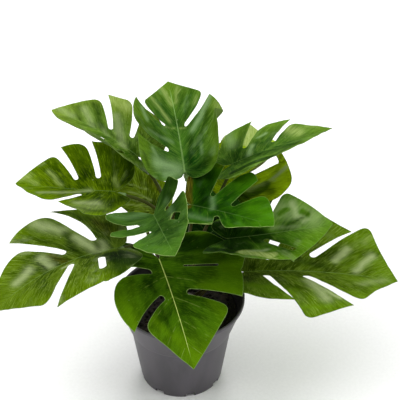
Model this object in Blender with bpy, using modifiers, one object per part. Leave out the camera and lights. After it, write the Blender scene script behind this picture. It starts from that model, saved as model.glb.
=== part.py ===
"""Potted monstera bush: moulded-fabric leaves on plastic stems, plugged into a hub in a black nursery pot.

Metres, +Z up. The origin is the centre of the pot's foot, and the front is at -Y. The tables below are in millimetres
and degrees, and MM turns them into metres.
"""

import math

import bmesh
import bpy
import numpy as np
from mathutils.geometry import delaunay_2d_cdt

MM = 0.001
FIT = 0.3  # the gap between pieces that touch

# The pot: a 13 cm nursery pot with a flared collar, a rolled rim and a notched foot.
POT_RIM_RADIUS = 61.8
POT_HEIGHT = 97.8
POT_LIP = 4.0
POT_COLLAR_Z = 62.7
POT_COLLAR_RADIUS = 49.2
POT_BASE_RADIUS = 40.4
POT_WALL = 1.5
POT_FLOOR_Z = 5.0
POT_FLOOR = 1.6
FOOT_NOTCHES = 8
FOOT_NOTCH_WIDTH = 9.0
FOOT_NOTCH_HEIGHT = 4.2
FOOT_NOTCH_PHASE = -77.0
BOSS_RADIUS = 8.0
DRAINS = 6
DRAIN_RADIUS = 4.0
DRAIN_RING = 24.0

# The fill and the hub that the stems plug into.
FILL_Z = 80.0
HUB_RADIUS = 17.0
HUB_BOTTOM_Z = 72.0
HUB_TOP_Z = 90.0
RINGS = {"inner": (5.2, 36.0, 72.0), "outer": (12.5, -22.5, 45.0)}  # radius, first place's angle, step
PLUG_DEPTH = 5.0

# The leaves.
BLADE = 0.7
STEM_RADIUS = 1.6
SOCKET_RADIUS = 2.6
SOCKET_DEPTH = 5.0
NECK_DROP = 12.0  # from the mouth of a rib's socket to the leaf's underside
RIB_GAP = 0.4
SLOT_WIDTH = 0.052
CORNER_PUSH = 0.022
CORNER_RADIUS = 0.075

# Where the corners of half a leaf lie: along the midrib from its base at 0 to the tip at 1, and out from the midrib,
# both as parts of the leaf's length. A leaf below states only the corners that differ from these.
CORNERS = dict(
    end_corner=(0.64, 0.345), slot_1=(0.37, 0.10), mid_front=(0.575, 0.47), mid_corner=(0.31, 0.47),
    slot_2=(0.14, 0.125), back_front=(0.27, 0.56), back_side=(0.02, 0.53), back_end=(-0.16, 0.38),
    back_notch=(-0.19, 0.18), hole_1=(0.52, 0.32), hole_2=(0.22, 0.40),
)

# One row a leaf. at is the foot of the midrib. heading is its compass angle from +X, pitch its rise there, roll its
# tilt to the right. droop, sweep and twist build up along the midrib. On each half, fold and curl lift the outer edge,
# and bend lifts the end, middle and back lobes. The stem leaves the midrib at `leave` degrees below the line back
# along it and `side` degrees aside, over `reach`, and rises from its place on the hub over `rise`, leaning by `lean`.
LEAVES = {
    "top_left": dict(
        at=(-39.8, 25, 247), heading=160, pitch=33, roll=2, length=91, droop=26, sweep=3, twist=0,
        right=dict(
            fold=11, curl=10, bend=(1, 3, -2), mid_front=(0.59, 0.46), mid_corner=(0.35, 0.5), slot_2=(0.15, 0.15),
            back_front=(0.24, 0.55), end_edge=(0.85, 0.18), mid_edge=(0.46, 0.49),
        ),
        left=dict(
            fold=15, curl=33, bend=(5, 7, 0), end_corner=(0.68, 0.35), mid_corner=(0.28, 0.47),
            end_edge=(0.84, 0.23),
        ),
        stem=dict(ring="inner", place=2, leave=25, side=15, rise=29, reach=71, lean=(-0.22, 0.15)),
    ),
    "top_centre": dict(
        at=(4.2, 10, 242), heading=98, pitch=24, roll=-5, length=105, droop=12, sweep=-4, twist=4,
        right=dict(
            fold=37, curl=15, bend=(1, -13, 20), end_corner=(0.63, 0.33), slot_1=(0.42, 0.08), mid_front=(0.58, 0.4),
            mid_corner=(0.34, 0.51), back_front=(0.3, 0.56), back_side=(-0.01, 0.54), back_end=(-0.14, 0.35),
            back_notch=(-0.13, 0.14), end_edge=(0.8, 0.18), gap_2="none",
        ),
        left=dict(
            fold=33, curl=21, bend=(0, 1, 0), end_corner=(0.61, 0.35), slot_1=(0.43, 0.14), mid_front=(0.6, 0.47),
            mid_corner=(0.35, 0.53), slot_2=(0.17, 0.14), back_front=(0.23, 0.52), back_side=(-0.02, 0.51),
            back_notch=(-0.15, 0.2), end_edge=(0.81, 0.17), slot_1_width=0.028,
        ),
        stem=dict(ring="inner", place=1, leave=75, side=10, rise=64, reach=46, lean=(0.1, 0.16)),
    ),
    "upper_right": dict(
        at=(49.2, 30, 234), heading=8, pitch=25, roll=-12, length=98, droop=10, sweep=1, twist=-9,
        right=dict(
            fold=12, curl=0, bend=(-6, -1, 1), end_corner=(0.76, 0.35), back_end=(-0.11, 0.35),
            end_edge=(0.88, 0.19), mid_front=(0.62, 0.43), mid_corner=(0.4, 0.44), back_front=(0.24, 0.52),
            back_side=(0.05, 0.53), gap_1="none", gap_2="none",
        ),
        left=dict(
            fold=7, curl=-1, bend=(-3, -4, 5), slot_1=(0.42, 0.1), mid_front=(0.63, 0.46), mid_corner=(0.33, 0.44),
            slot_2=(0.14, 0.18), back_front=(0.27, 0.59), back_end=(-0.1, 0.34), end_edge=(0.82, 0.19),
            mid_edge=(0.48, 0.5),
        ),
        stem=dict(ring="inner", place=0, leave=35, side=10, rise=34, reach=34, lean=(0.12, 0.06)),
    ),
    "back_right": dict(
        at=(48.2, 40, 196), heading=81, pitch=5, roll=3, length=113, droop=24, sweep=23, twist=-11,
        right=dict(
            fold=15, curl=34, bend=(0, 33, -19), end_corner=(0.58, 0.31), slot_1=(0.34, 0.09),
            mid_front=(0.52, 0.43), mid_corner=(0.28, 0.46), slot_2=(0.17, 0.1), back_front=(0.27, 0.46),
            back_side=(-0.03, 0.55), back_end=(-0.22, 0.43), back_notch=(-0.2, 0.15), hole_2=(0.28, 0.4),
            gap_2="hole", hole_half=0.036,
        ),
        left=dict(
            fold=34, curl=41, bend=(0, 0, 2), end_edge=(0.94, 0.17), end_corner=(0.7, 0.18), mid_front=(0.55, 0.24),
            mid_corner=(0.37, 0.26), back_front=(0.18, 0.33), back_side=(0, 0.31), back_end=(-0.11, 0.24),
            back_notch=(-0.17, 0.16), gap_1="none", gap_2="none",
        ),
        stem=dict(ring="outer", place=2, leave=50, side=-30, rise=48, reach=48, lean=(0.16, -0.02)),
    ),
    "left": dict(
        at=(-61.8, 10, 217), heading=176, pitch=0, roll=-5, length=91, droop=-13, sweep=-7, twist=10,
        right=dict(
            fold=20, curl=13, bend=(2, 2, -3), end_corner=(0.64, 0.36), slot_1=(0.38, 0.12), mid_corner=(0.33, 0.49),
            slot_2=(0.16, 0.15), back_end=(-0.17, 0.36), end_edge=(0.82, 0.22),
        ),
        left=dict(
            fold=19, curl=-1, bend=(-7, 0, -4), end_corner=(0.66, 0.37), mid_front=(0.55, 0.4), slot_1=(0.32, 0.11),
            back_side=(0.04, 0.53), back_end=(-0.11, 0.36), mid_corner=(0.34, 0.52), back_front=(0.22, 0.57),
            end_edge=(0.88, 0.25), gap_2="none",
        ),
        stem=dict(ring="outer", place=5, leave=25, side=15, rise=45, reach=65, lean=(0, 0.11)),
    ),
    "low_left": dict(
        at=(-58.8, -38, 188), heading=200, pitch=5, roll=17, length=126, droop=39, sweep=-1, twist=-18,
        right=dict(
            fold=7, curl=9, bend=(-4, 5, 3), end_corner=(0.62, 0.3), slot_1=(0.34, 0.11), mid_front=(0.64, 0.42),
            mid_corner=(0.33, 0.51), slot_2=(0.1, 0.16), back_front=(0.3, 0.57), back_end=(-0.17, 0.33),
            back_notch=(-0.13, 0.13), end_edge=(0.76, 0.25), mid_edge=(0.48, 0.51), back_edge=(0.12, 0.39),
        ),
        left=dict(
            fold=14, curl=-13, bend=(-7, -5, 1), end_corner=(0.67, 0.36), slot_1=(0.35, 0.07),
            mid_front=(0.62, 0.47), mid_corner=(0.25, 0.51), slot_2=(0.15, 0.15), back_front=(0.23, 0.56),
            back_side=(0.06, 0.53), back_notch=(-0.09, 0.12), back_end=(-0.1, 0.33), end_edge=(0.84, 0.2),
            mid_edge=(0.45, 0.49), hole_2=(0.2, 0.35), gap_2="hole", hole_half=0.026,
        ),
        stem=dict(ring="outer", place=6, leave=10, side=40, rise=77, reach=42, lean=(0.2, 0.16)),
    ),
    "centre_left": dict(
        at=(-22.8, -40, 229), heading=-76, pitch=12, roll=22, length=87, droop=-4, sweep=-1, twist=-14,
        right=dict(
            fold=9, curl=26, bend=(-13, 4, 24), slot_1=(0.33, 0.11), mid_front=(0.55, 0.57), slot_2=(0.14, 0.19),
            back_front=(0.26, 0.59), mid_corner=(0.31, 0.44), end_edge=(0.87, 0.22),
        ),
        left=dict(
            fold=20, curl=33, bend=(-10, 6, 18), end_corner=(0.69, 0.28), slot_1=(0.3, 0.17), mid_front=(0.6, 0.34),
            slot_2=(0.11, 0.14), back_side=(0.01, 0.48), end_edge=(0.83, 0.15), gap_1="hole", hole_1=(0.46, 0.25),
            hole_half=0.042, mid_edge=(0.44, 0.42),
        ),
        stem=dict(ring="inner", place=3, leave=35, side=25, rise=58, reach=40, lean=(-0.23, 0.01)),
    ),
    "centre_right": dict(
        at=(10.2, -24, 228), heading=-25, pitch=6, roll=9, length=89, droop=-9, sweep=15, twist=-22,
        right=dict(
            fold=5, curl=24, bend=(-10, 12, 11), end_corner=(0.67, 0.34), slot_1=(0.35, 0.1), mid_front=(0.57, 0.5),
            gap_2="none", back_notch=(-0.03, 0.12), back_end=(0.03, 0.21), back_side=(0.14, 0.38),
            back_front=(0.29, 0.55),
        ),
        left=dict(
            fold=8, curl=27, bend=(-5, 10, 8), end_corner=(0.67, 0.33), slot_1=(0.41, 0.11), mid_front=(0.54, 0.46),
            mid_corner=(0.38, 0.46), slot_2=(0.16, 0.16), back_front=(0.19, 0.51), mid_edge=(0.47, 0.52),
            back_end=(-0.14, 0.33), back_notch=(-0.12, 0.14), back_side=(0.03, 0.51),
        ),
        stem=dict(ring="inner", place=4, leave=40, side=-25, rise=81, reach=69, lean=(-0.08, 0.16)),
    ),
    "right": dict(
        at=(45.2, -21, 186), heading=-8, pitch=14, roll=1, length=98, droop=-2, sweep=-5, twist=28,
        right=dict(
            fold=12, curl=16, bend=(-18, 9, 16), end_corner=(0.64, 0.4), slot_1=(0.35, 0.08),
            mid_corner=(0.25, 0.48), mid_front=(0.62, 0.49), back_side=(0.06, 0.52), hole_1=(0.65, 0.27),
            end_edge=(0.83, 0.21), mid_edge=(0.44, 0.49), gap_1="hole", back_front=(0.16, 0.55), slot_2=(0.12, 0.15),
            hole_half=0.025, gap_2="none",
        ),
        left=dict(
            fold=13, curl=-28, bend=(11, 0, -35), end_corner=(0.56, 0.42), back_front=(0.24, 0.6),
            back_side=(0.03, 0.5), end_edge=(0.82, 0.21), slot_1=(0.34, 0.1), mid_front=(0.47, 0.5),
            mid_corner=(0.27, 0.49),
        ),
        stem=dict(ring="outer", place=0, leave=110, side=-30, rise=41, reach=39, lean=(0.56, 0.08)),
    ),
    "low_right": dict(
        at=(62.2, 2, 126), heading=2, pitch=2, roll=-14, length=147, droop=13, sweep=2, twist=10,
        right=dict(
            fold=17, curl=-13, bend=(-1, -17, 3), end_corner=(0.72, 0.39), mid_front=(0.67, 0.43),
            mid_corner=(0.36, 0.59), slot_2=(0.12, 0.12), back_front=(0.28, 0.56), back_side=(0.07, 0.56),
            end_edge=(0.86, 0.19), mid_edge=(0.51, 0.52),
        ),
        left=dict(
            fold=11, curl=3, bend=(20, 19, -8), end_corner=(0.8, 0.42), slot_1=(0.43, 0.15), mid_front=(0.7, 0.38),
            mid_corner=(0.42, 0.55), back_side=(0.05, 0.44), mid_edge=(0.57, 0.46), end_edge=(0.91, 0.18),
        ),
        stem=dict(ring="outer", place=1, leave=25, side=-10, rise=15, reach=30, lean=(0.53, -0.07)),
    ),
    "front": dict(
        at=(-19.8, -20, 160), heading=-74, pitch=-2, roll=-2, length=119, droop=36, sweep=-4, twist=1,
        right=dict(
            fold=21, curl=11, bend=(3, -5, -4), end_corner=(0.67, 0.32), slot_1=(0.39, 0.08), mid_front=(0.69, 0.45),
            mid_corner=(0.28, 0.41), slot_2=(0.15, 0.11), mid_edge=(0.5, 0.55), end_edge=(0.8, 0.2),
            back_front=(0.16, 0.4), back_side=(-0.02, 0.4), back_end=(-0.14, 0.28), back_notch=(-0.13, 0.13),
        ),
        left=dict(
            fold=11, curl=7, bend=(2, -5, 2), end_corner=(0.62, 0.38), slot_1=(0.38, 0.12), mid_front=(0.56, 0.51),
            mid_corner=(0.34, 0.57), slot_2=(0.14, 0.16), back_front=(0.28, 0.63), back_side=(0, 0.51),
            hole_2=(0.24, 0.42), end_edge=(0.81, 0.2), gap_2="hole", hole_half=0.009,
        ),
        stem=dict(ring="outer", place=7, leave=90, side=-30, rise=24, reach=23, lean=(-0.15, -0.04)),
    ),
    "back_left": dict(
        at=(-22.8, 23, 182), heading=143, pitch=48, roll=21, length=64, droop=40, sweep=-5, twist=-22,
        right=dict(
            fold=1, curl=12, bend=(8, -3, 0), back_front=(0.2, 0.58), back_side=(0, 0.53), back_end=(-0.13, 0.32),
            end_corner=(0.76, 0.37), mid_corner=(0.33, 0.46), gap_1="none", gap_2="none",
        ),
        left=dict(
            fold=8, curl=0, bend=(7, -19, 8), mid_front=(0.55, 0.47), mid_corner=(0.31, 0.51), back_side=(0, 0.53),
            end_corner=(0.72, 0.33), gap_1="none", gap_2="none",
        ),
        stem=dict(ring="outer", place=4, leave=30, side=5, rise=22, reach=25, lean=(-0.22, 0.2)),
    ),
    "inner_right": dict(
        at=(26.2, 26, 152), heading=48, pitch=2, roll=4, length=88, droop=25, sweep=5, twist=-5,
        right=dict(
            fold=12, curl=15, bend=(0, 5, 0),
        ),
        left=dict(
            fold=12, curl=15, bend=(0, 0, 5),
        ),
        stem=dict(ring="outer", place=3, leave=60, side=-10, rise=18, reach=13, lean=(0.15, 0.27)),
    ),
}

OLIVE = ("back_right", "back_left")


def srgb(r, g, b):
    """A colour given as 0..255 screen values."""
    return [(c / 255 / 12.92 if c <= 10 else ((c / 255 + 0.055) / 1.055) ** 2.4) for c in (r, g, b)] + [1.0]


COLOURS = {  # colour, roughness, metallic
    "leaf_green": (srgb(62, 104, 26), 0.48, 0.0),
    "leaf_olive": (srgb(88, 102, 22), 0.55, 0.0),
    "rib_green": (srgb(118, 152, 84), 0.5, 0.0),
    "stem_olive": (srgb(104, 94, 56), 0.5, 0.0),
    "pot_black": (srgb(58, 57, 58), 0.5, 0.0),
    "fill_black": (srgb(22, 20, 18), 0.95, 0.0),
    "hub_brown": (srgb(52, 46, 34), 0.6, 0.0),
}


def material(name):
    found = bpy.data.materials.get(name)
    if found:
        return found
    made = bpy.data.materials.new(name)
    made.use_nodes = True
    shader = made.node_tree.nodes["Principled BSDF"]
    colour, roughness, metallic = COLOURS[name]
    shader.inputs["Base Color"].default_value = colour
    shader.inputs["Roughness"].default_value = roughness
    shader.inputs["Metallic"].default_value = metallic
    made.diffuse_color = colour
    return made


def collection(name, hidden=False):
    made = bpy.data.collections.new(name)
    made.hide_render = hidden
    bpy.context.scene.collection.children.link(made)
    return made


def add(name, data, home, colour=None):
    made = bpy.data.objects.new(name, data)
    home.objects.link(made)
    if colour:
        data.materials.append(material(colour))
    else:
        made.hide_render = True
        made.display_type = "WIRE"
    return made


def turned(name, profile, steps, home, colour):
    """The profile (radius, height) in mm, turned about Z. It runs up the inside and down the outside."""
    mesh = bpy.data.meshes.new(name)
    points = [(r * MM, 0, z * MM) for r, z in profile]
    mesh.from_pydata(points, [(i, i + 1) for i in range(len(points) - 1)], [])
    made = add(name, mesh, home, colour)
    screw = made.modifiers.new("turn", "SCREW")
    screw.steps = screw.render_steps = steps
    screw.use_merge_vertices = True
    screw.merge_threshold = 1e-5
    screw.use_smooth_shade = True
    return made


def tube(name, points, radii, sides, home, colour):
    """A round rod through the points, in mm, with its own radius at each."""
    curve = bpy.data.curves.new(name, "CURVE")
    curve.dimensions = "3D"
    curve.bevel_depth = 1.0
    curve.bevel_resolution = sides
    curve.use_fill_caps = True
    line = curve.splines.new("POLY")
    line.points.add(len(points) - 1)
    for spot, point, radius in zip(line.points, points, radii):
        spot.co = (*(np.asarray(point) * MM), 1.0)
        spot.radius = radius * MM
    return add(name, curve, home, colour)


def as_mesh(obj, home, colour=None):
    """The curve object as a welded mesh object of the same name."""
    graph = bpy.context.evaluated_depsgraph_get()
    mesh = bpy.data.meshes.new_from_object(obj.evaluated_get(graph))
    cage = bmesh.new()
    cage.from_mesh(mesh)
    bmesh.ops.remove_doubles(cage, verts=cage.verts, dist=1e-6)
    cage.to_mesh(mesh)
    cage.free()
    name, place = obj.name, obj.matrix_world.copy()
    bpy.data.objects.remove(obj)
    mesh.materials.clear()
    made = add(name, mesh, home, colour)
    made.matrix_world = place
    return made


def joined(name, pieces, home):
    """Separate cutters as one object."""
    cage = bmesh.new()
    for piece in pieces:
        piece.data.transform(piece.matrix_world)
        cage.from_mesh(piece.data)
        bpy.data.objects.remove(piece)
    mesh = bpy.data.meshes.new(name)
    cage.to_mesh(mesh)
    cage.free()
    return add(name, mesh, home)


def cut(obj, cutter):
    hole = obj.modifiers.new("cut " + cutter.name, "BOOLEAN")
    hole.operation = "DIFFERENCE"
    hole.solver = "EXACT"
    hole.object = cutter


def cylinder(name, radius, height, centre, home, sides=16):
    cage = bmesh.new()
    bmesh.ops.create_cone(
        cage, cap_ends=True, segments=sides, radius1=radius * MM, radius2=radius * MM, depth=height * MM
    )
    mesh = bpy.data.meshes.new(name)
    cage.to_mesh(mesh)
    cage.free()
    made = add(name, mesh, home)
    made.location = [c * MM for c in centre]
    bpy.context.view_layer.update()
    return made


def block(name, size, centre, angle, home):
    cage = bmesh.new()
    bmesh.ops.create_cube(cage, size=1.0)
    bmesh.ops.scale(cage, vec=[s * MM for s in size], verts=cage.verts)
    mesh = bpy.data.meshes.new(name)
    cage.to_mesh(mesh)
    cage.free()
    made = add(name, mesh, home)
    made.location = [c * MM for c in centre]
    made.rotation_euler = (0, 0, math.radians(angle))
    bpy.context.view_layer.update()
    return made


# The outline of a leaf


def bowed(a, b, bow, n):
    """Points after a, up to b, on a line that bows to its left by `bow` of its length."""
    a, b = np.asarray(a, float), np.asarray(b, float)
    way = b - a
    middle = (a + b) / 2 + np.array([-way[1], way[0]]) * bow * 2
    t = np.linspace(0, 1, n + 1)[1:, None]
    return (1 - t) ** 2 * a + 2 * t * (1 - t) * middle + t * t * b


def through(a, m, b, n):
    """Points after a, up to b, on a smooth line that passes m."""
    a, m, b = (np.asarray(x, float) for x in (a, m, b))
    first, last = np.linalg.norm(m - a), np.linalg.norm(b - m)
    s = first / (first + last)
    middle = (m - (1 - s) ** 2 * a - s * s * b) / (2 * s * (1 - s))
    t = np.linspace(0, 1, n + 1)[1:, None]
    return (1 - t) ** 2 * a + 2 * t * (1 - t) * middle + t * t * b


def softened(points, i, radius, n):
    """The corner at point i replaced by a round one that starts `radius` before it and ends as far after it."""

    def walked(k, step):
        far = 0.0
        while 0 <= k + step < len(points):
            edge = np.linalg.norm(points[k + step] - points[k])
            if far + edge >= radius:
                return k, points[k] + (points[k + step] - points[k]) * (radius - far) / edge
            far += edge
            k += step
        return k, points[k]

    before, a = walked(i, -1)
    after, b = walked(i, 1)
    t = np.linspace(0, 1, n)[:, None]
    round_ = (1 - t) ** 2 * a + 2 * t * (1 - t) * points[i] + t * t * b
    return np.concatenate([points[:before], round_, points[after + 1 :]])


def half_outline(half, seg, soft):
    """The edge of half a leaf from its tip to the foot of its midrib, and its closed holes."""
    at = {name: np.array(half.get(name, spot), float) for name, spot in CORNERS.items()}
    tip = np.array([1.0, 0.0])
    runs, corners = [tip[None]], []

    def add_run(points):
        runs.append(np.atleast_2d(points))

    def mark_corner():
        corners.append(sum(len(run) for run in runs) - 1)

    def pushed(corner, a, b):
        away = 2 * corner - a - b
        return corner + away / np.linalg.norm(away) * CORNER_PUSH

    def slot(corner, front, inner, back, edge, name):
        wide = half.get(name + "_width", SLOT_WIDTH)
        axis = (front + back) / 2 - inner
        axis /= np.linalg.norm(axis)
        across = np.array([-axis[1], axis[0]])
        if across @ (front - back) < 0:
            across = -across
        a = inner + (across + axis) * wide / 2
        b = inner + (axis - across) * wide / 2
        add_run(bowed(corner, a, -0.03, seg))
        t = np.linspace(0, math.pi, soft + 1)[1:-1, None]
        add_run((a + b) / 2 + (a - b) / 2 * np.cos(t) - axis * wide / 2 * np.sin(t))
        add_run(b)
        add_run(through(b, half[edge], back, seg) if edge in half else bowed(b, back, 0.03, seg))

    end, front, corner, back = at["end_corner"], at["mid_front"], at["mid_corner"], at["back_front"]
    if half.get("gap_1", "open") == "open":
        sharp = pushed(end, tip, at["slot_1"])
        add_run(through(tip, half["end_edge"], sharp, seg) if "end_edge" in half else bowed(tip, sharp, -0.035, seg))
        mark_corner()
        slot(sharp, end, at["slot_1"], front, "front_edge", "slot_1")
    else:
        add_run(through(tip, half["end_edge"], end, seg) if "end_edge" in half else bowed(tip, end, -0.05, seg))
        add_run(bowed(end, front, -0.02, max(2, seg // 2)))
    if half.get("gap_2", "open") == "open":
        sharp = pushed(corner, front, at["slot_2"])
        add_run(
            through(front, half["mid_edge"], sharp, seg) if "mid_edge" in half else bowed(front, sharp, -0.09, seg)
        )
        mark_corner()
        slot(sharp, corner, at["slot_2"], back, "back_edge", "slot_2")
        before = 2 * back - at["back_side"] + 0.03
    else:
        add_run(
            through(front, half["mid_edge"], corner, seg) if "mid_edge" in half else bowed(front, corner, -0.06, seg)
        )
        add_run(bowed(corner, back, -0.03, max(2, seg // 2)))
        before = corner
    hooks = [before, back, at["back_side"], at["back_end"], at["back_notch"]]
    hooks += [np.array([-0.085, 0.05]), np.zeros(2), np.array([0.05, 0.0])]
    t = np.linspace(0, 1, max(3, seg * 2 // 3) + 1)[1:, None]
    for p0, p1, p2, p3 in zip(hooks, hooks[1:], hooks[2:], hooks[3:]):
        add_run(
            0.5 * (2 * p1 + (p2 - p0) * t + (2 * p0 - 5 * p1 + 4 * p2 - p3) * t**2 + (3 * p1 - p0 - 3 * p2 + p3) * t**3)
        )
    points = np.concatenate(runs)
    for i in reversed(corners):
        points = softened(points, i, CORNER_RADIUS, soft + 1)
    holes = []
    for gap, inner, outer in (("gap_1", "slot_1", "hole_1"), ("gap_2", "slot_2", "hole_2")):
        if half.get(gap) == "hole":
            a, b = at[inner], at[outer]
            axis = (b - a) / np.linalg.norm(b - a)
            across = np.array([-axis[1], axis[0]]) * half.get("hole_half", 0.021)
            t = np.linspace(0, math.pi, soft + 2)[:, None]
            one = a + axis * 0.021 * (1 - np.sin(t)) + across * np.cos(t)
            other = b - axis * 0.021 * (1 - np.sin(t)) - across * np.cos(t)
            holes.append(np.concatenate([one, other]))
    return points, holes


def leaf_outline(leaf, seg, soft):
    right, right_holes = half_outline(leaf["right"], seg, soft)
    left, left_holes = half_outline(leaf["left"], seg, soft)
    flip = np.array([1, -1])
    return np.concatenate([right, (left * flip)[::-1][1:-1]]), right_holes + [hole * flip for hole in left_holes]


# The bent surface of a leaf


def step(x):
    x = np.clip(x, 0, 1)
    return x * x * (3 - 2 * x)


def leaf_axes(leaf):
    """Along the midrib, to its right, and up out of the leaf, at the midrib's foot."""
    a, p, r = (math.radians(leaf[k]) for k in ("heading", "pitch", "roll"))
    flat = np.array([math.cos(a), math.sin(a), 0])
    right = np.array([math.sin(a), -math.cos(a), 0])
    up = np.array([0, 0, 1.0])
    along = flat * math.cos(p) + up * math.sin(p)
    normal = up * math.cos(p) - flat * math.sin(p)
    return along, right * math.cos(r) - normal * math.sin(r), normal * math.cos(r) + right * math.sin(r)


def leaf_points(leaf, spots, n=16):
    """Where the spots (along, right) of the flat leaf lie in space, in mm."""
    spots = np.atleast_2d(np.asarray(spots, float))
    u, v = spots[:, 0], spots[:, 1]
    out, side = np.abs(v), np.where(v < 0, -1.0, 1.0)
    k = (np.arange(n) + 0.5) / n
    droop, sweep, twist = (math.radians(leaf[name]) for name in ("droop", "sweep", "twist"))
    ahead = np.maximum(u, 0)
    dip, turn = -droop * ahead[:, None] * k, sweep * ahead[:, None] * k
    rib = np.stack([(np.cos(dip) * np.cos(turn)).mean(1), (np.cos(dip) * np.sin(turn)).mean(1), np.sin(dip).mean(1)], -1)
    rib *= ahead[:, None]
    rib[:, 0] += np.minimum(u, 0)
    dip, turn, twisted = -droop * ahead, sweep * ahead, twist * ahead
    across = np.stack([-np.sin(turn), np.cos(turn), 0 * turn], -1)
    above = np.stack([-np.sin(dip) * np.cos(turn), -np.sin(dip) * np.sin(turn), np.cos(dip)], -1)
    c, s = np.cos(twisted)[:, None], np.sin(twisted)[:, None]
    across, above = across * c - above * s, above * c + across * s
    lift, fold, curl = np.zeros(len(u)), np.zeros(len(u)), np.zeros(len(u))
    for half, mine in ((leaf["right"], v >= 0), (leaf["left"], v < 0)):

        def before(inner, a, b):
            near = np.array(half.get(inner, CORNERS[inner]), float)
            far = (np.array(half.get(a, CORNERS[a]), float) + np.array(half.get(b, CORNERS[b]), float)) / 2
            t = np.clip((out - near[1]) / max(far[1] - near[1], 1e-3), -0.3, 1.5)
            return step((u - near[0] - t * (far[0] - near[0])) / 0.06 + 0.5)

        front, middle = before("slot_1", "end_corner", "mid_front"), before("slot_2", "mid_corner", "back_front")
        end, mid, back = (math.radians(x) for x in half["bend"])
        lift = np.where(mine, end * front + (1 - front) * (mid * middle + back * (1 - middle)), lift)
        fold = np.where(mine, math.radians(half["fold"]), fold)
        curl = np.where(mine, math.radians(half["curl"]), curl)
    part = out[:, None] * k
    angle = fold[:, None] + 2 * curl[:, None] * part + lift[:, None] * np.maximum(0, part - 0.12) / 0.38
    wide, high = np.cos(angle).mean(1) * out, np.sin(angle).mean(1) * out
    spot = (rib + (side * wide)[:, None] * across + high[:, None] * above) * leaf["length"]
    along, right, normal = leaf_axes(leaf)
    return np.array(leaf["at"], float) + spot[:, :1] * along + spot[:, 1:2] * right + spot[:, 2:3] * normal


def inside(spots, loops):
    """Which spots lie inside the first loop and outside the others."""
    found = np.zeros(len(spots), bool)
    for loop in loops:
        a, b = loop, np.roll(loop, -1, 0)
        x, y = spots[:, None, 0], spots[:, None, 1]
        crossed = (a[:, 1] > y) != (b[:, 1] > y)
        rise = np.where(b[:, 1] == a[:, 1], 1.0, b[:, 1] - a[:, 1])
        found ^= (crossed & (x < a[:, 0] + (y - a[:, 1]) * (b[:, 0] - a[:, 0]) / rise)).sum(1) % 2 == 1
    return found


def apart(spots, loops, gap):
    """The spots that keep the gap to every point of the loops."""
    edge = np.concatenate(loops)
    return spots[np.linalg.norm(spots[:, None] - edge, axis=2).min(1) > gap]


RIB_SPOTS = np.array([0.0, 0.08, 0.16, 0.25, 0.35, 0.45, 0.55, 0.65, 0.75, 0.84, 0.92])


def blade(name, leaf, home, colour):
    """A thin bent sheet with the leaf's outline."""
    edge, holes = leaf_outline(leaf, 3, 3)
    loops = [edge] + holes
    rows = np.arange(-0.2, 1.0, 0.13)
    grid = np.array([(u + (i % 2) * 0.06, v) for i, v in enumerate(np.arange(-0.52, 0.53, 0.13)) for u in rows])
    grid = grid[np.abs(grid[:, 1]) > 0.05]
    grid = apart(grid[inside(grid, loops)], loops, 0.055)
    rib = np.stack([RIB_SPOTS[1:], 0 * RIB_SPOTS[1:]], -1)
    spots, lines = [edge], [(i, (i + 1) % len(edge)) for i in range(len(edge))]
    first = len(edge)
    for hole in holes:
        spots.append(hole)
        lines += [(first + i, first + (i + 1) % len(hole)) for i in range(len(hole))]
        first += len(hole)
    spots += [rib, grid]
    lines += [(first + i, first + i + 1) for i in range(len(rib) - 1)]
    flat, _, faces, _, _, _ = delaunay_2d_cdt([tuple(spot) for spot in np.concatenate(spots)], lines, [], 0, 1e-7)
    flat = np.array([tuple(spot) for spot in flat])
    faces = np.array([tuple(face) for face in faces])
    faces = faces[inside(flat[faces].mean(1), loops)]
    used, faces = np.unique(faces, return_inverse=True)
    faces = faces.reshape(-1, 3)
    mesh = bpy.data.meshes.new(name)
    # Seen from above, +v lies to the right of the midrib, so the faces are turned to look up.
    mesh.from_pydata((leaf_points(leaf, flat[used]) * MM).tolist(), [], faces[:, ::-1].tolist())
    mesh.shade_smooth()
    made = add(name, mesh, home, colour)
    shell = made.modifiers.new("thickness", "SOLIDIFY")
    shell.thickness = BLADE * MM
    shell.offset = 0.0
    return made


def rib_line(leaf, spots, drop):
    """The line at `drop` mm under the midrib, at the spots along it."""
    spots = np.asarray(spots, float)
    d = 0.01
    here = leaf_points(leaf, np.stack([spots, 0 * spots], -1))
    ahead = leaf_points(leaf, np.stack([spots + d, 0 * spots], -1)) - leaf_points(leaf, np.stack([spots - d, 0 * spots], -1))
    right = leaf_points(leaf, np.stack([spots, 0 * spots + d], -1)) - leaf_points(leaf, np.stack([spots, 0 * spots - d], -1))
    down = np.cross(ahead, right)
    down /= np.linalg.norm(down, axis=1)[:, None]
    return here + down * np.asarray(drop)[:, None]


def stem_frame(leaf):
    """The mouth of the socket under the leaf, and the way that the stem runs away from it."""
    along, right, normal = leaf_axes(leaf)
    a, b = math.radians(leaf["stem"]["leave"]), math.radians(leaf["stem"]["side"])
    away = (-along * math.cos(a) - normal * math.sin(a)) * math.cos(b) + right * math.sin(b)
    under = np.array(leaf["at"], float) - normal * 2.2
    return under + away * NECK_DROP, away, under


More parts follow.
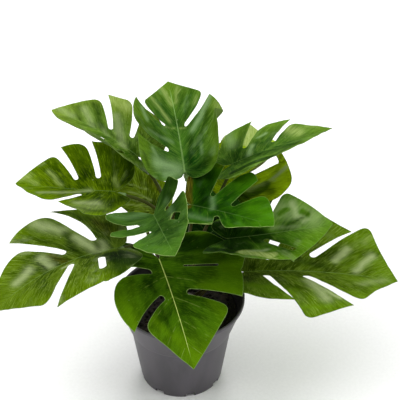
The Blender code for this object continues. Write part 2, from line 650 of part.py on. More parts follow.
def rib(name, leaf, home, cutters, colour):
    """The moulded spine under the midrib, with the socket at its foot that the stem pushes into."""
    mouth, away, under = stem_frame(leaf)
    spots = RIB_SPOTS[1:-1]
    radii = np.interp(spots, [0, 0.3, 1.0], [1.3, 1.0, 0.35])
    spine = rib_line(leaf, spots, radii + BLADE / 2 + RIB_GAP)
    neck = mouth - away * 8.5
    t = np.array([0.25, 0.5, 0.75])[:, None]
    knee = under + (under - spine[0]) * 0.1
    bow = (1 - t) ** 2 * neck + 2 * t * (1 - t) * knee + t * t * spine[0]
    points = np.concatenate([[mouth, mouth - away * 6.3, neck], bow, spine])
    sizes = [SOCKET_RADIUS, SOCKET_RADIUS, 1.4] + [1.4, 1.35, 1.3] + list(radii)
    made = as_mesh(tube(name, points, sizes, 1, home, colour), home, colour)
    bore = tube(
        name + "_bore", [mouth + away * 2, mouth - away * (SOCKET_DEPTH + FIT)], [STEM_RADIUS + FIT] * 2, 2, cutters, None
    )
    cut(made, as_mesh(bore, cutters))
    return made


def hub_place(leaf):
    radius, first, turn = RINGS[leaf["stem"]["ring"]]
    angle = math.radians(first + turn * leaf["stem"]["place"])
    lean = np.array([*leaf["stem"]["lean"], 1.0])
    return np.array([radius * math.cos(angle), radius * math.sin(angle), HUB_TOP_Z]), lean / np.linalg.norm(lean)


def stem_line(leaf, n):
    """From the bottom of the stem's plug in the hub to its end in the rib's socket."""
    foot, up = hub_place(leaf)
    mouth, away, _ = stem_frame(leaf)
    a, b = foot + up * leaf["stem"]["rise"], mouth + away * leaf["stem"]["reach"]
    t = np.linspace(0, 1, n)[:, None]
    bow = (1 - t) ** 3 * foot + 3 * t * (1 - t) ** 2 * a + 3 * t * t * (1 - t) * b + t**3 * mouth
    return np.concatenate([[foot - up * PLUG_DEPTH], bow, [mouth - away * SOCKET_DEPTH]])


# The pot, its fill and the hub


def pot_outer(z):
    """The pot's outer radius at a height."""
    heights = [0, 1.2, 4.5, POT_COLLAR_Z, POT_COLLAR_Z + 1.0, POT_HEIGHT - POT_LIP - 0.6]
    radii = [POT_BASE_RADIUS - 1.0, POT_BASE_RADIUS - 0.5, POT_BASE_RADIUS, POT_COLLAR_RADIUS, POT_COLLAR_RADIUS + 1.0]
    return float(np.interp(z, heights, radii + [POT_RIM_RADIUS - 1.4]))


def pot_profile():
    inner = [(pot_outer(z) - POT_WALL, z) for z in (POT_FLOOR_Z + POT_FLOOR, 30.0, POT_COLLAR_Z - 0.3, POT_COLLAR_Z + 1.3)]
    top, lip = POT_RIM_RADIUS, POT_HEIGHT - POT_LIP
    inner += [(pot_outer(lip - 0.6) - POT_WALL, lip - 0.6), (top - 2.4, POT_HEIGHT - 1.0)]
    over = [(top - 1.7, POT_HEIGHT), (top - 0.8, POT_HEIGHT), (top, POT_HEIGHT - 0.8), (top, lip), (top - 1.4, lip - 0.6)]
    outer = [(pot_outer(z), z) for z in (POT_COLLAR_Z + 1.0, POT_COLLAR_Z, 34.0, 4.5, 1.2, 0.0)]
    under = [(pot_outer(0) - 1.8, 0.0), (pot_outer(0) - 2.2, POT_FLOOR_Z)]
    boss = [(BOSS_RADIUS + 0.6, POT_FLOOR_Z), (BOSS_RADIUS, 0.0), (0.0, 0.0)]
    return [(0.0, POT_FLOOR_Z + POT_FLOOR)] + inner + over + outer + under + boss


def build():
    for obj in list(bpy.data.objects):
        bpy.data.objects.remove(obj, do_unlink=True)
    home = collection("potted_monstera")
    cutters = collection("cutters", hidden=True)

    pot = turned("pot", pot_profile(), 64, home, "pot_black")
    notches = []
    for i in range(FOOT_NOTCHES):
        angle = FOOT_NOTCH_PHASE + 360 / FOOT_NOTCHES * i
        a = math.radians(angle)
        spot = (POT_BASE_RADIUS * math.cos(a), POT_BASE_RADIUS * math.sin(a), FOOT_NOTCH_HEIGHT / 2 - 1)
        notches.append(block("notch", (12, FOOT_NOTCH_WIDTH, FOOT_NOTCH_HEIGHT + 2), spot, angle, cutters))
    cut(pot, joined("foot_notches", notches, cutters))
    drains = []
    for i in range(DRAINS):
        a = 2 * math.pi * (i + 0.5) / DRAINS
        spot = (DRAIN_RING * math.cos(a), DRAIN_RING * math.sin(a), POT_FLOOR_Z)
        drains.append(cylinder("drain", DRAIN_RADIUS, 8, spot, cutters))
    cut(pot, joined("drain_holes", drains, cutters))

    bottom = POT_FLOOR_Z + POT_FLOOR + FIT
    side = [(pot_outer(z) - POT_WALL - FIT, z) for z in (FILL_Z, POT_COLLAR_Z + 1.6, POT_COLLAR_Z - 0.3, 30.0, bottom)]
    pocket, floor = HUB_RADIUS + FIT, HUB_BOTTOM_Z - FIT
    turned(
        "potting_fill",
        [(0, floor), (pocket, floor), (pocket, FILL_Z + 2), (pocket + 12, FILL_Z + 1)] + side + [(0, bottom)],
        48, home, "fill_black",
    )
    hub = turned(
        "stem_hub",
        [(0, HUB_TOP_Z), (HUB_RADIUS - 1.4, HUB_TOP_Z), (HUB_RADIUS, HUB_TOP_Z - 1.4), (HUB_RADIUS, HUB_BOTTOM_Z), (0, HUB_BOTTOM_Z)],
        32, home, "hub_brown",
    )
    bores = []
    for name, leaf in LEAVES.items():
        foot, up = hub_place(leaf)
        ends = [foot - up * (PLUG_DEPTH + FIT), foot + up * 4]
        bores.append(as_mesh(tube(name, ends, [STEM_RADIUS + FIT] * 2, 2, cutters, None), cutters))
    cut(hub, joined("stem_bores", bores, cutters))

    for name, leaf in LEAVES.items():
        colour = "leaf_olive" if name in OLIVE else "leaf_green"
        blade(name + "_blade", leaf, home, colour)
        rib(name + "_rib", leaf, home, cutters, "rib_green")
        line = stem_line(leaf, 9)
        tube(name + "_stem", line, [STEM_RADIUS] * len(line), 2, home, "stem_olive")


build()
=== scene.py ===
import math

import bmesh
import bpy
import numpy as np
from mathutils import Matrix, Vector, noise
from mathutils.geometry import delaunay_2d_cdt

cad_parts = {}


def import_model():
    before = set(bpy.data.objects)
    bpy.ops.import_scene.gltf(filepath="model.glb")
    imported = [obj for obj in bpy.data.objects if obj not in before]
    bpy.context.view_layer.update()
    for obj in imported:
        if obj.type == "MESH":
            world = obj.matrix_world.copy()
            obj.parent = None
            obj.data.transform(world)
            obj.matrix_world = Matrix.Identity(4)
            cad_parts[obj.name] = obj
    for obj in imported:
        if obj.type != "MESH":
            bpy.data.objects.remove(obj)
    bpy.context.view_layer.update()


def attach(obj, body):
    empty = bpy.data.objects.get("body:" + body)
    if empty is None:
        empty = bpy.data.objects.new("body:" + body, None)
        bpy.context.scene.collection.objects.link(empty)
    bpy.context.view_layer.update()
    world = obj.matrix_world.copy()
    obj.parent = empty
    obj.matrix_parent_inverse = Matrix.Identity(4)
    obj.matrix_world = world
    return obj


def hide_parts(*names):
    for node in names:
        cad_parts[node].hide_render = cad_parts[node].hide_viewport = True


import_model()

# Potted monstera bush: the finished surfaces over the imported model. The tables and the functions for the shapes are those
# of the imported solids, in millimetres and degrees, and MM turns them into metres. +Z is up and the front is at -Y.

for startup in ("Cube", "Light", "Camera"):
    if startup in bpy.data.objects:
        bpy.data.objects.remove(bpy.data.objects[startup])

MM = 0.001
FIT = 0.3  # the gap between pieces that touch

# The pot: a 13 cm nursery pot with a flared collar, a rolled rim and a notched foot.
POT_RIM_RADIUS = 61.8
POT_HEIGHT = 97.8
POT_LIP = 4.0
POT_COLLAR_Z = 62.7
POT_COLLAR_RADIUS = 49.2
POT_BASE_RADIUS = 40.4
POT_WALL = 1.5
POT_FLOOR_Z = 5.0
POT_FLOOR = 1.6
FOOT_NOTCHES = 8
FOOT_NOTCH_WIDTH = 9.0
FOOT_NOTCH_HEIGHT = 4.2
FOOT_NOTCH_PHASE = -77.0
BOSS_RADIUS = 8.0
DRAINS = 6
DRAIN_RADIUS = 4.0
DRAIN_RING = 24.0

# The fill and the hub that the stems plug into.
FILL_Z = 80.0
HUB_RADIUS = 17.0
HUB_BOTTOM_Z = 72.0
HUB_TOP_Z = 90.0
RINGS = {"inner": (5.2, 36.0, 72.0), "outer": (12.5, -22.5, 45.0)}  # radius, first place's angle, step
PLUG_DEPTH = 5.0

# The leaves.
BLADE = 0.7
STEM_RADIUS = 1.6
SOCKET_RADIUS = 2.6
SOCKET_DEPTH = 5.0
NECK_DROP = 12.0  # from the mouth of a rib's socket to the leaf's underside
RIB_GAP = 0.4
SLOT_WIDTH = 0.052
CORNER_PUSH = 0.022
CORNER_RADIUS = 0.075

# Where the corners of half a leaf lie: along the midrib from its base at 0 to the tip at 1, and out from the midrib,
# both as parts of the leaf's length. A leaf below states only the corners that differ from these.
CORNERS = dict(
    end_corner=(0.64, 0.345), slot_1=(0.37, 0.10), mid_front=(0.575, 0.47), mid_corner=(0.31, 0.47),
    slot_2=(0.14, 0.125), back_front=(0.27, 0.56), back_side=(0.02, 0.53), back_end=(-0.16, 0.38),
    back_notch=(-0.19, 0.18), hole_1=(0.52, 0.32), hole_2=(0.22, 0.40),
)

# One row a leaf. at is the foot of the midrib. heading is its compass angle from +X, pitch its rise there, roll its
# tilt to the right. droop, sweep and twist build up along the midrib. On each half, fold and curl lift the outer edge,
# and bend lifts the end, middle and back lobes. The stem leaves the midrib at `leave` degrees below the line back
# along it and `side` degrees aside, over `reach`, and rises from its place on the hub over `rise`, leaning by `lean`.
LEAVES = {
    "top_left": dict(
        at=(-39.8, 25, 247), heading=160, pitch=33, roll=2, length=91, droop=26, sweep=3, twist=0,
        right=dict(
            fold=11, curl=10, bend=(1, 3, -2), mid_front=(0.59, 0.46), mid_corner=(0.35, 0.5), slot_2=(0.15, 0.15),
            back_front=(0.24, 0.55), end_edge=(0.85, 0.18), mid_edge=(0.46, 0.49),
        ),
        left=dict(
            fold=15, curl=33, bend=(5, 7, 0), end_corner=(0.68, 0.35), mid_corner=(0.28, 0.47),
            end_edge=(0.84, 0.23),
        ),
        stem=dict(ring="inner", place=2, leave=25, side=15, rise=29, reach=71, lean=(-0.22, 0.15)),
    ),
    "top_centre": dict(
        at=(4.2, 10, 242), heading=98, pitch=24, roll=-5, length=105, droop=12, sweep=-4, twist=4,
        right=dict(
            fold=37, curl=15, bend=(1, -13, 20), end_corner=(0.63, 0.33), slot_1=(0.42, 0.08), mid_front=(0.58, 0.4),
            mid_corner=(0.34, 0.51), back_front=(0.3, 0.56), back_side=(-0.01, 0.54), back_end=(-0.14, 0.35),
            back_notch=(-0.13, 0.14), end_edge=(0.8, 0.18), gap_2="none",
        ),
        left=dict(
            fold=33, curl=21, bend=(0, 1, 0), end_corner=(0.61, 0.35), slot_1=(0.43, 0.14), mid_front=(0.6, 0.47),
            mid_corner=(0.35, 0.53), slot_2=(0.17, 0.14), back_front=(0.23, 0.52), back_side=(-0.02, 0.51),
            back_notch=(-0.15, 0.2), end_edge=(0.81, 0.17), slot_1_width=0.028,
        ),
        stem=dict(ring="inner", place=1, leave=75, side=10, rise=64, reach=46, lean=(0.1, 0.16)),
    ),
    "upper_right": dict(
        at=(49.2, 30, 234), heading=8, pitch=25, roll=-12, length=98, droop=10, sweep=1, twist=-9,
        right=dict(
            fold=12, curl=0, bend=(-6, -1, 1), end_corner=(0.76, 0.35), back_end=(-0.11, 0.35),
            end_edge=(0.88, 0.19), mid_front=(0.62, 0.43), mid_corner=(0.4, 0.44), back_front=(0.24, 0.52),
            back_side=(0.05, 0.53), gap_1="none", gap_2="none",
        ),
        left=dict(
            fold=7, curl=-1, bend=(-3, -4, 5), slot_1=(0.42, 0.1), mid_front=(0.63, 0.46), mid_corner=(0.33, 0.44),
            slot_2=(0.14, 0.18), back_front=(0.27, 0.59), back_end=(-0.1, 0.34), end_edge=(0.82, 0.19),
            mid_edge=(0.48, 0.5),
        ),
        stem=dict(ring="inner", place=0, leave=35, side=10, rise=34, reach=34, lean=(0.12, 0.06)),
    ),
    "back_right": dict(
        at=(48.2, 40, 196), heading=81, pitch=5, roll=3, length=113, droop=24, sweep=23, twist=-11,
        right=dict(
            fold=15, curl=34, bend=(0, 33, -19), end_corner=(0.58, 0.31), slot_1=(0.34, 0.09),
            mid_front=(0.52, 0.43), mid_corner=(0.28, 0.46), slot_2=(0.17, 0.1), back_front=(0.27, 0.46),
            back_side=(-0.03, 0.55), back_end=(-0.22, 0.43), back_notch=(-0.2, 0.15), hole_2=(0.28, 0.4),
            gap_2="hole", hole_half=0.036,
        ),
        left=dict(
            fold=34, curl=41, bend=(0, 0, 2), end_edge=(0.94, 0.17), end_corner=(0.7, 0.18), mid_front=(0.55, 0.24),
            mid_corner=(0.37, 0.26), back_front=(0.18, 0.33), back_side=(0, 0.31), back_end=(-0.11, 0.24),
            back_notch=(-0.17, 0.16), gap_1="none", gap_2="none",
        ),
        stem=dict(ring="outer", place=2, leave=50, side=-30, rise=48, reach=48, lean=(0.16, -0.02)),
    ),
    "left": dict(
        at=(-61.8, 10, 217), heading=176, pitch=0, roll=-5, length=91, droop=-13, sweep=-7, twist=10,
        right=dict(
            fold=20, curl=13, bend=(2, 2, -3), end_corner=(0.64, 0.36), slot_1=(0.38, 0.12), mid_corner=(0.33, 0.49),
            slot_2=(0.16, 0.15), back_end=(-0.17, 0.36), end_edge=(0.82, 0.22),
        ),
        left=dict(
            fold=19, curl=-1, bend=(-7, 0, -4), end_corner=(0.66, 0.37), mid_front=(0.55, 0.4), slot_1=(0.32, 0.11),
            back_side=(0.04, 0.53), back_end=(-0.11, 0.36), mid_corner=(0.34, 0.52), back_front=(0.22, 0.57),
            end_edge=(0.88, 0.25), gap_2="none",
        ),
        stem=dict(ring="outer", place=5, leave=25, side=15, rise=45, reach=65, lean=(0, 0.11)),
    ),
    "low_left": dict(
        at=(-58.8, -38, 188), heading=200, pitch=5, roll=17, length=126, droop=39, sweep=-1, twist=-18,
        right=dict(
            fold=7, curl=9, bend=(-4, 5, 3), end_corner=(0.62, 0.3), slot_1=(0.34, 0.11), mid_front=(0.64, 0.42),
            mid_corner=(0.33, 0.51), slot_2=(0.1, 0.16), back_front=(0.3, 0.57), back_end=(-0.17, 0.33),
            back_notch=(-0.13, 0.13), end_edge=(0.76, 0.25), mid_edge=(0.48, 0.51), back_edge=(0.12, 0.39),
        ),
        left=dict(
            fold=14, curl=-13, bend=(-7, -5, 1), end_corner=(0.67, 0.36), slot_1=(0.35, 0.07),
            mid_front=(0.62, 0.47), mid_corner=(0.25, 0.51), slot_2=(0.15, 0.15), back_front=(0.23, 0.56),
            back_side=(0.06, 0.53), back_notch=(-0.09, 0.12), back_end=(-0.1, 0.33), end_edge=(0.84, 0.2),
            mid_edge=(0.45, 0.49), hole_2=(0.2, 0.35), gap_2="hole", hole_half=0.026,
        ),
        stem=dict(ring="outer", place=6, leave=10, side=40, rise=77, reach=42, lean=(0.2, 0.16)),
    ),
    "centre_left": dict(
        at=(-22.8, -40, 229), heading=-76, pitch=12, roll=22, length=87, droop=-4, sweep=-1, twist=-14,
        right=dict(
            fold=9, curl=26, bend=(-13, 4, 24), slot_1=(0.33, 0.11), mid_front=(0.55, 0.57), slot_2=(0.14, 0.19),
            back_front=(0.26, 0.59), mid_corner=(0.31, 0.44), end_edge=(0.87, 0.22),
        ),
        left=dict(
            fold=20, curl=33, bend=(-10, 6, 18), end_corner=(0.69, 0.28), slot_1=(0.3, 0.17), mid_front=(0.6, 0.34),
            slot_2=(0.11, 0.14), back_side=(0.01, 0.48), end_edge=(0.83, 0.15), gap_1="hole", hole_1=(0.46, 0.25),
            hole_half=0.042, mid_edge=(0.44, 0.42),
        ),
        stem=dict(ring="inner", place=3, leave=35, side=25, rise=58, reach=40, lean=(-0.23, 0.01)),
    ),
    "centre_right": dict(
        at=(10.2, -24, 228), heading=-25, pitch=6, roll=9, length=89, droop=-9, sweep=15, twist=-22,
        right=dict(
            fold=5, curl=24, bend=(-10, 12, 11), end_corner=(0.67, 0.34), slot_1=(0.35, 0.1), mid_front=(0.57, 0.5),
            gap_2="none", back_notch=(-0.03, 0.12), back_end=(0.03, 0.21), back_side=(0.14, 0.38),
            back_front=(0.29, 0.55),
        ),
        left=dict(
            fold=8, curl=27, bend=(-5, 10, 8), end_corner=(0.67, 0.33), slot_1=(0.41, 0.11), mid_front=(0.54, 0.46),
            mid_corner=(0.38, 0.46), slot_2=(0.16, 0.16), back_front=(0.19, 0.51), mid_edge=(0.47, 0.52),
            back_end=(-0.14, 0.33), back_notch=(-0.12, 0.14), back_side=(0.03, 0.51),
        ),
        stem=dict(ring="inner", place=4, leave=40, side=-25, rise=81, reach=69, lean=(-0.08, 0.16)),
    ),
    "right": dict(
        at=(45.2, -21, 186), heading=-8, pitch=14, roll=1, length=98, droop=-2, sweep=-5, twist=28,
        right=dict(
            fold=12, curl=16, bend=(-18, 9, 16), end_corner=(0.64, 0.4), slot_1=(0.35, 0.08),
            mid_corner=(0.25, 0.48), mid_front=(0.62, 0.49), back_side=(0.06, 0.52), hole_1=(0.65, 0.27),
            end_edge=(0.83, 0.21), mid_edge=(0.44, 0.49), gap_1="hole", back_front=(0.16, 0.55), slot_2=(0.12, 0.15),
            hole_half=0.025, gap_2="none",
        ),
        left=dict(
            fold=13, curl=-28, bend=(11, 0, -35), end_corner=(0.56, 0.42), back_front=(0.24, 0.6),
            back_side=(0.03, 0.5), end_edge=(0.82, 0.21), slot_1=(0.34, 0.1), mid_front=(0.47, 0.5),
            mid_corner=(0.27, 0.49),
        ),
        stem=dict(ring="outer", place=0, leave=110, side=-30, rise=41, reach=39, lean=(0.56, 0.08)),
    ),
    "low_right": dict(
        at=(62.2, 2, 126), heading=2, pitch=2, roll=-14, length=147, droop=13, sweep=2, twist=10,
        right=dict(
            fold=17, curl=-13, bend=(-1, -17, 3), end_corner=(0.72, 0.39), mid_front=(0.67, 0.43),
            mid_corner=(0.36, 0.59), slot_2=(0.12, 0.12), back_front=(0.28, 0.56), back_side=(0.07, 0.56),
            end_edge=(0.86, 0.19), mid_edge=(0.51, 0.52),
        ),
        left=dict(
            fold=11, curl=3, bend=(20, 19, -8), end_corner=(0.8, 0.42), slot_1=(0.43, 0.15), mid_front=(0.7, 0.38),
            mid_corner=(0.42, 0.55), back_side=(0.05, 0.44), mid_edge=(0.57, 0.46), end_edge=(0.91, 0.18),
        ),
        stem=dict(ring="outer", place=1, leave=25, side=-10, rise=15, reach=30, lean=(0.53, -0.07)),
    ),
    "front": dict(
        at=(-19.8, -20, 160), heading=-74, pitch=-2, roll=-2, length=119, droop=36, sweep=-4, twist=1,
        right=dict(
            fold=21, curl=11, bend=(3, -5, -4), end_corner=(0.67, 0.32), slot_1=(0.39, 0.08), mid_front=(0.69, 0.45),
            mid_corner=(0.28, 0.41), slot_2=(0.15, 0.11), mid_edge=(0.5, 0.55), end_edge=(0.8, 0.2),
            back_front=(0.16, 0.4), back_side=(-0.02, 0.4), back_end=(-0.14, 0.28), back_notch=(-0.13, 0.13),
        ),
        left=dict(
            fold=11, curl=7, bend=(2, -5, 2), end_corner=(0.62, 0.38), slot_1=(0.38, 0.12), mid_front=(0.56, 0.51),
            mid_corner=(0.34, 0.57), slot_2=(0.14, 0.16), back_front=(0.28, 0.63), back_side=(0, 0.51),
            hole_2=(0.24, 0.42), end_edge=(0.81, 0.2), gap_2="hole", hole_half=0.009,
        ),
        stem=dict(ring="outer", place=7, leave=90, side=-30, rise=24, reach=23, lean=(-0.15, -0.04)),
    ),
    "back_left": dict(
        at=(-22.8, 23, 182), heading=143, pitch=48, roll=21, length=64, droop=40, sweep=-5, twist=-22,
        right=dict(
            fold=1, curl=12, bend=(8, -3, 0), back_front=(0.2, 0.58), back_side=(0, 0.53), back_end=(-0.13, 0.32),
            end_corner=(0.76, 0.37), mid_corner=(0.33, 0.46), gap_1="none", gap_2="none",
        ),
        left=dict(
            fold=8, curl=0, bend=(7, -19, 8), mid_front=(0.55, 0.47), mid_corner=(0.31, 0.51), back_side=(0, 0.53),
            end_corner=(0.72, 0.33), gap_1="none", gap_2="none",
        ),
        stem=dict(ring="outer", place=4, leave=30, side=5, rise=22, reach=25, lean=(-0.22, 0.2)),
    ),
    "inner_right": dict(
        at=(26.2, 26, 152), heading=48, pitch=2, roll=4, length=88, droop=25, sweep=5, twist=-5,
        right=dict(
            fold=12, curl=15, bend=(0, 5, 0),
        ),
        left=dict(
            fold=12, curl=15, bend=(0, 0, 5),
        ),
        stem=dict(ring="outer", place=3, leave=60, side=-10, rise=18, reach=13, lean=(0.15, 0.27)),
    ),
}

OLIVE = ("back_right", "back_left")


# The outline of a leaf


def bowed(a, b, bow, n):
    """Points after a, up to b, on a line that bows to its left by `bow` of its length."""
    a, b = np.asarray(a, float), np.asarray(b, float)
    way = b - a
    middle = (a + b) / 2 + np.array([-way[1], way[0]]) * bow * 2
    t = np.linspace(0, 1, n + 1)[1:, None]
    return (1 - t) ** 2 * a + 2 * t * (1 - t) * middle + t * t * b


def through(a, m, b, n):
    """Points after a, up to b, on a smooth line that passes m."""
    a, m, b = (np.asarray(x, float) for x in (a, m, b))
    first, last = np.linalg.norm(m - a), np.linalg.norm(b - m)
    s = first / (first + last)
    middle = (m - (1 - s) ** 2 * a - s * s * b) / (2 * s * (1 - s))
    t = np.linspace(0, 1, n + 1)[1:, None]
    return (1 - t) ** 2 * a + 2 * t * (1 - t) * middle + t * t * b


def softened(points, i, radius, n):
    """The corner at point i replaced by a round one that starts `radius` before it and ends as far after it."""

    def walked(k, step):
        far = 0.0
        while 0 <= k + step < len(points):
            edge = np.linalg.norm(points[k + step] - points[k])
            if far + edge >= radius:
                return k, points[k] + (points[k + step] - points[k]) * (radius - far) / edge
            far += edge
            k += step
        return k, points[k]

    before, a = walked(i, -1)
    after, b = walked(i, 1)
    t = np.linspace(0, 1, n)[:, None]
    round_ = (1 - t) ** 2 * a + 2 * t * (1 - t) * points[i] + t * t * b
    return np.concatenate([points[:before], round_, points[after + 1 :]])


def half_outline(half, seg, soft):
    """The edge of half a leaf from its tip to the foot of its midrib, and its closed holes."""
    at = {name: np.array(half.get(name, spot), float) for name, spot in CORNERS.items()}
    tip = np.array([1.0, 0.0])
    runs, corners = [tip[None]], []

    def add_run(points):
        runs.append(np.atleast_2d(points))

    def mark_corner():
        corners.append(sum(len(run) for run in runs) - 1)

    def pushed(corner, a, b):
        away = 2 * corner - a - b
        return corner + away / np.linalg.norm(away) * CORNER_PUSH

    def slot(corner, front, inner, back, edge, name):
        wide = half.get(name + "_width", SLOT_WIDTH)
        axis = (front + back) / 2 - inner
        axis /= np.linalg.norm(axis)
        across = np.array([-axis[1], axis[0]])
        if across @ (front - back) < 0:
            across = -across
        a = inner + (across + axis) * wide / 2
        b = inner + (axis - across) * wide / 2
        add_run(bowed(corner, a, -0.03, seg))
        t = np.linspace(0, math.pi, soft + 1)[1:-1, None]
        add_run((a + b) / 2 + (a - b) / 2 * np.cos(t) - axis * wide / 2 * np.sin(t))
        add_run(b)
        add_run(through(b, half[edge], back, seg) if edge in half else bowed(b, back, 0.03, seg))

    end, front, corner, back = at["end_corner"], at["mid_front"], at["mid_corner"], at["back_front"]
    if half.get("gap_1", "open") == "open":
        sharp = pushed(end, tip, at["slot_1"])
        add_run(through(tip, half["end_edge"], sharp, seg) if "end_edge" in half else bowed(tip, sharp, -0.035, seg))
        mark_corner()
        slot(sharp, end, at["slot_1"], front, "front_edge", "slot_1")
    else:
        add_run(through(tip, half["end_edge"], end, seg) if "end_edge" in half else bowed(tip, end, -0.05, seg))
        add_run(bowed(end, front, -0.02, max(2, seg // 2)))
    if half.get("gap_2", "open") == "open":
        sharp = pushed(corner, front, at["slot_2"])
        add_run(
            through(front, half["mid_edge"], sharp, seg) if "mid_edge" in half else bowed(front, sharp, -0.09, seg)
        )
        mark_corner()
        slot(sharp, corner, at["slot_2"], back, "back_edge", "slot_2")
        before = 2 * back - at["back_side"] + 0.03
    else:
        add_run(
            through(front, half["mid_edge"], corner, seg) if "mid_edge" in half else bowed(front, corner, -0.06, seg)
        )
        add_run(bowed(corner, back, -0.03, max(2, seg // 2)))
        before = corner
    hooks = [before, back, at["back_side"], at["back_end"], at["back_notch"]]
    hooks += [np.array([-0.085, 0.05]), np.zeros(2), np.array([0.05, 0.0])]
    t = np.linspace(0, 1, max(3, seg * 2 // 3) + 1)[1:, None]
    for p0, p1, p2, p3 in zip(hooks, hooks[1:], hooks[2:], hooks[3:]):
        add_run(
            0.5 * (2 * p1 + (p2 - p0) * t + (2 * p0 - 5 * p1 + 4 * p2 - p3) * t**2 + (3 * p1 - p0 - 3 * p2 + p3) * t**3)
        )
    points = np.concatenate(runs)
    for i in reversed(corners):
        points = softened(points, i, CORNER_RADIUS, soft + 1)
    holes = []
    for gap, inner, outer in (("gap_1", "slot_1", "hole_1"), ("gap_2", "slot_2", "hole_2")):
        if half.get(gap) == "hole":
            a, b = at[inner], at[outer]
            axis = (b - a) / np.linalg.norm(b - a)
            across = np.array([-axis[1], axis[0]]) * half.get("hole_half", 0.021)
            t = np.linspace(0, math.pi, soft + 2)[:, None]
            one = a + axis * 0.021 * (1 - np.sin(t)) + across * np.cos(t)
            other = b - axis * 0.021 * (1 - np.sin(t)) - across * np.cos(t)
            holes.append(np.concatenate([one, other]))
    return points, holes


def leaf_outline(leaf, seg, soft):
    right, right_holes = half_outline(leaf["right"], seg, soft)
    left, left_holes = half_outline(leaf["left"], seg, soft)
    flip = np.array([1, -1])
    return np.concatenate([right, (left * flip)[::-1][1:-1]]), right_holes + [hole * flip for hole in left_holes]


# The bent surface of a leaf


def step(x):
    x = np.clip(x, 0, 1)
    return x * x * (3 - 2 * x)


def leaf_axes(leaf):
    """Along the midrib, to its right, and up out of the leaf, at the midrib's foot."""
    a, p, r = (math.radians(leaf[k]) for k in ("heading", "pitch", "roll"))
    flat = np.array([math.cos(a), math.sin(a), 0])
    right = np.array([math.sin(a), -math.cos(a), 0])
    up = np.array([0, 0, 1.0])
    along = flat * math.cos(p) + up * math.sin(p)
    normal = up * math.cos(p) - flat * math.sin(p)
    return along, right * math.cos(r) - normal * math.sin(r), normal * math.cos(r) + right * math.sin(r)


def leaf_points(leaf, spots, n=16):
    """Where the spots (along, right) of the flat leaf lie in space, in mm."""
    spots = np.atleast_2d(np.asarray(spots, float))
    u, v = spots[:, 0], spots[:, 1]
    out, side = np.abs(v), np.where(v < 0, -1.0, 1.0)
    k = (np.arange(n) + 0.5) / n
    droop, sweep, twist = (math.radians(leaf[name]) for name in ("droop", "sweep", "twist"))
    ahead = np.maximum(u, 0)
    dip, turn = -droop * ahead[:, None] * k, sweep * ahead[:, None] * k
    rib = np.stack([(np.cos(dip) * np.cos(turn)).mean(1), (np.cos(dip) * np.sin(turn)).mean(1), np.sin(dip).mean(1)], -1)
    rib *= ahead[:, None]
    rib[:, 0] += np.minimum(u, 0)
    dip, turn, twisted = -droop * ahead, sweep * ahead, twist * ahead
    across = np.stack([-np.sin(turn), np.cos(turn), 0 * turn], -1)
    above = np.stack([-np.sin(dip) * np.cos(turn), -np.sin(dip) * np.sin(turn), np.cos(dip)], -1)
    c, s = np.cos(twisted)[:, None], np.sin(twisted)[:, None]
    across, above = across * c - above * s, above * c + across * s
    lift, fold, curl = np.zeros(len(u)), np.zeros(len(u)), np.zeros(len(u))
    for half, mine in ((leaf["right"], v >= 0), (leaf["left"], v < 0)):

        def before(inner, a, b):
            near = np.array(half.get(inner, CORNERS[inner]), float)
            far = (np.array(half.get(a, CORNERS[a]), float) + np.array(half.get(b, CORNERS[b]), float)) / 2
            t = np.clip((out - near[1]) / max(far[1] - near[1], 1e-3), -0.3, 1.5)
            return step((u - near[0] - t * (far[0] - near[0])) / 0.06 + 0.5)

        front, middle = before("slot_1", "end_corner", "mid_front"), before("slot_2", "mid_corner", "back_front")
        end, mid, back = (math.radians(x) for x in half["bend"])
        lift = np.where(mine, end * front + (1 - front) * (mid * middle + back * (1 - middle)), lift)
        fold = np.where(mine, math.radians(half["fold"]), fold)
        curl = np.where(mine, math.radians(half["curl"]), curl)
    part = out[:, None] * k
    angle = fold[:, None] + 2 * curl[:, None] * part + lift[:, None] * np.maximum(0, part - 0.12) / 0.38
    wide, high = np.cos(angle).mean(1) * out, np.sin(angle).mean(1) * out
    spot = (rib + (side * wide)[:, None] * across + high[:, None] * above) * leaf["length"]
    along, right, normal = leaf_axes(leaf)
    return np.array(leaf["at"], float) + spot[:, :1] * along + spot[:, 1:2] * right + spot[:, 2:3] * normal


def inside(spots, loops):
    """Which spots lie inside the first loop and outside the others."""
    found = np.zeros(len(spots), bool)
    for loop in loops:
        a, b = loop, np.roll(loop, -1, 0)
        x, y = spots[:, None, 0], spots[:, None, 1]
        crossed = (a[:, 1] > y) != (b[:, 1] > y)
        rise = np.where(b[:, 1] == a[:, 1], 1.0, b[:, 1] - a[:, 1])
        found ^= (crossed & (x < a[:, 0] + (y - a[:, 1]) * (b[:, 0] - a[:, 0]) / rise)).sum(1) % 2 == 1
    return found


def apart(spots, loops, gap):
    """The spots that keep the gap to every point of the loops."""
    edge = np.concatenate(loops)
    return spots[np.linalg.norm(spots[:, None] - edge, axis=2).min(1) > gap]


RIB_SPOTS = np.array([0.0, 0.08, 0.16, 0.25, 0.35, 0.45, 0.55, 0.65, 0.75, 0.84, 0.92])


def rib_line(leaf, spots, drop):
    """The line at `drop` mm under the midrib, at the spots along it."""
    spots = np.asarray(spots, float)
    d = 0.01
    here = leaf_points(leaf, np.stack([spots, 0 * spots], -1))
    ahead = leaf_points(leaf, np.stack([spots + d, 0 * spots], -1)) - leaf_points(leaf, np.stack([spots - d, 0 * spots], -1))
    right = leaf_points(leaf, np.stack([spots, 0 * spots + d], -1)) - leaf_points(leaf, np.stack([spots, 0 * spots - d], -1))
    down = np.cross(ahead, right)
    down /= np.linalg.norm(down, axis=1)[:, None]
    return here + down * np.asarray(drop)[:, None]


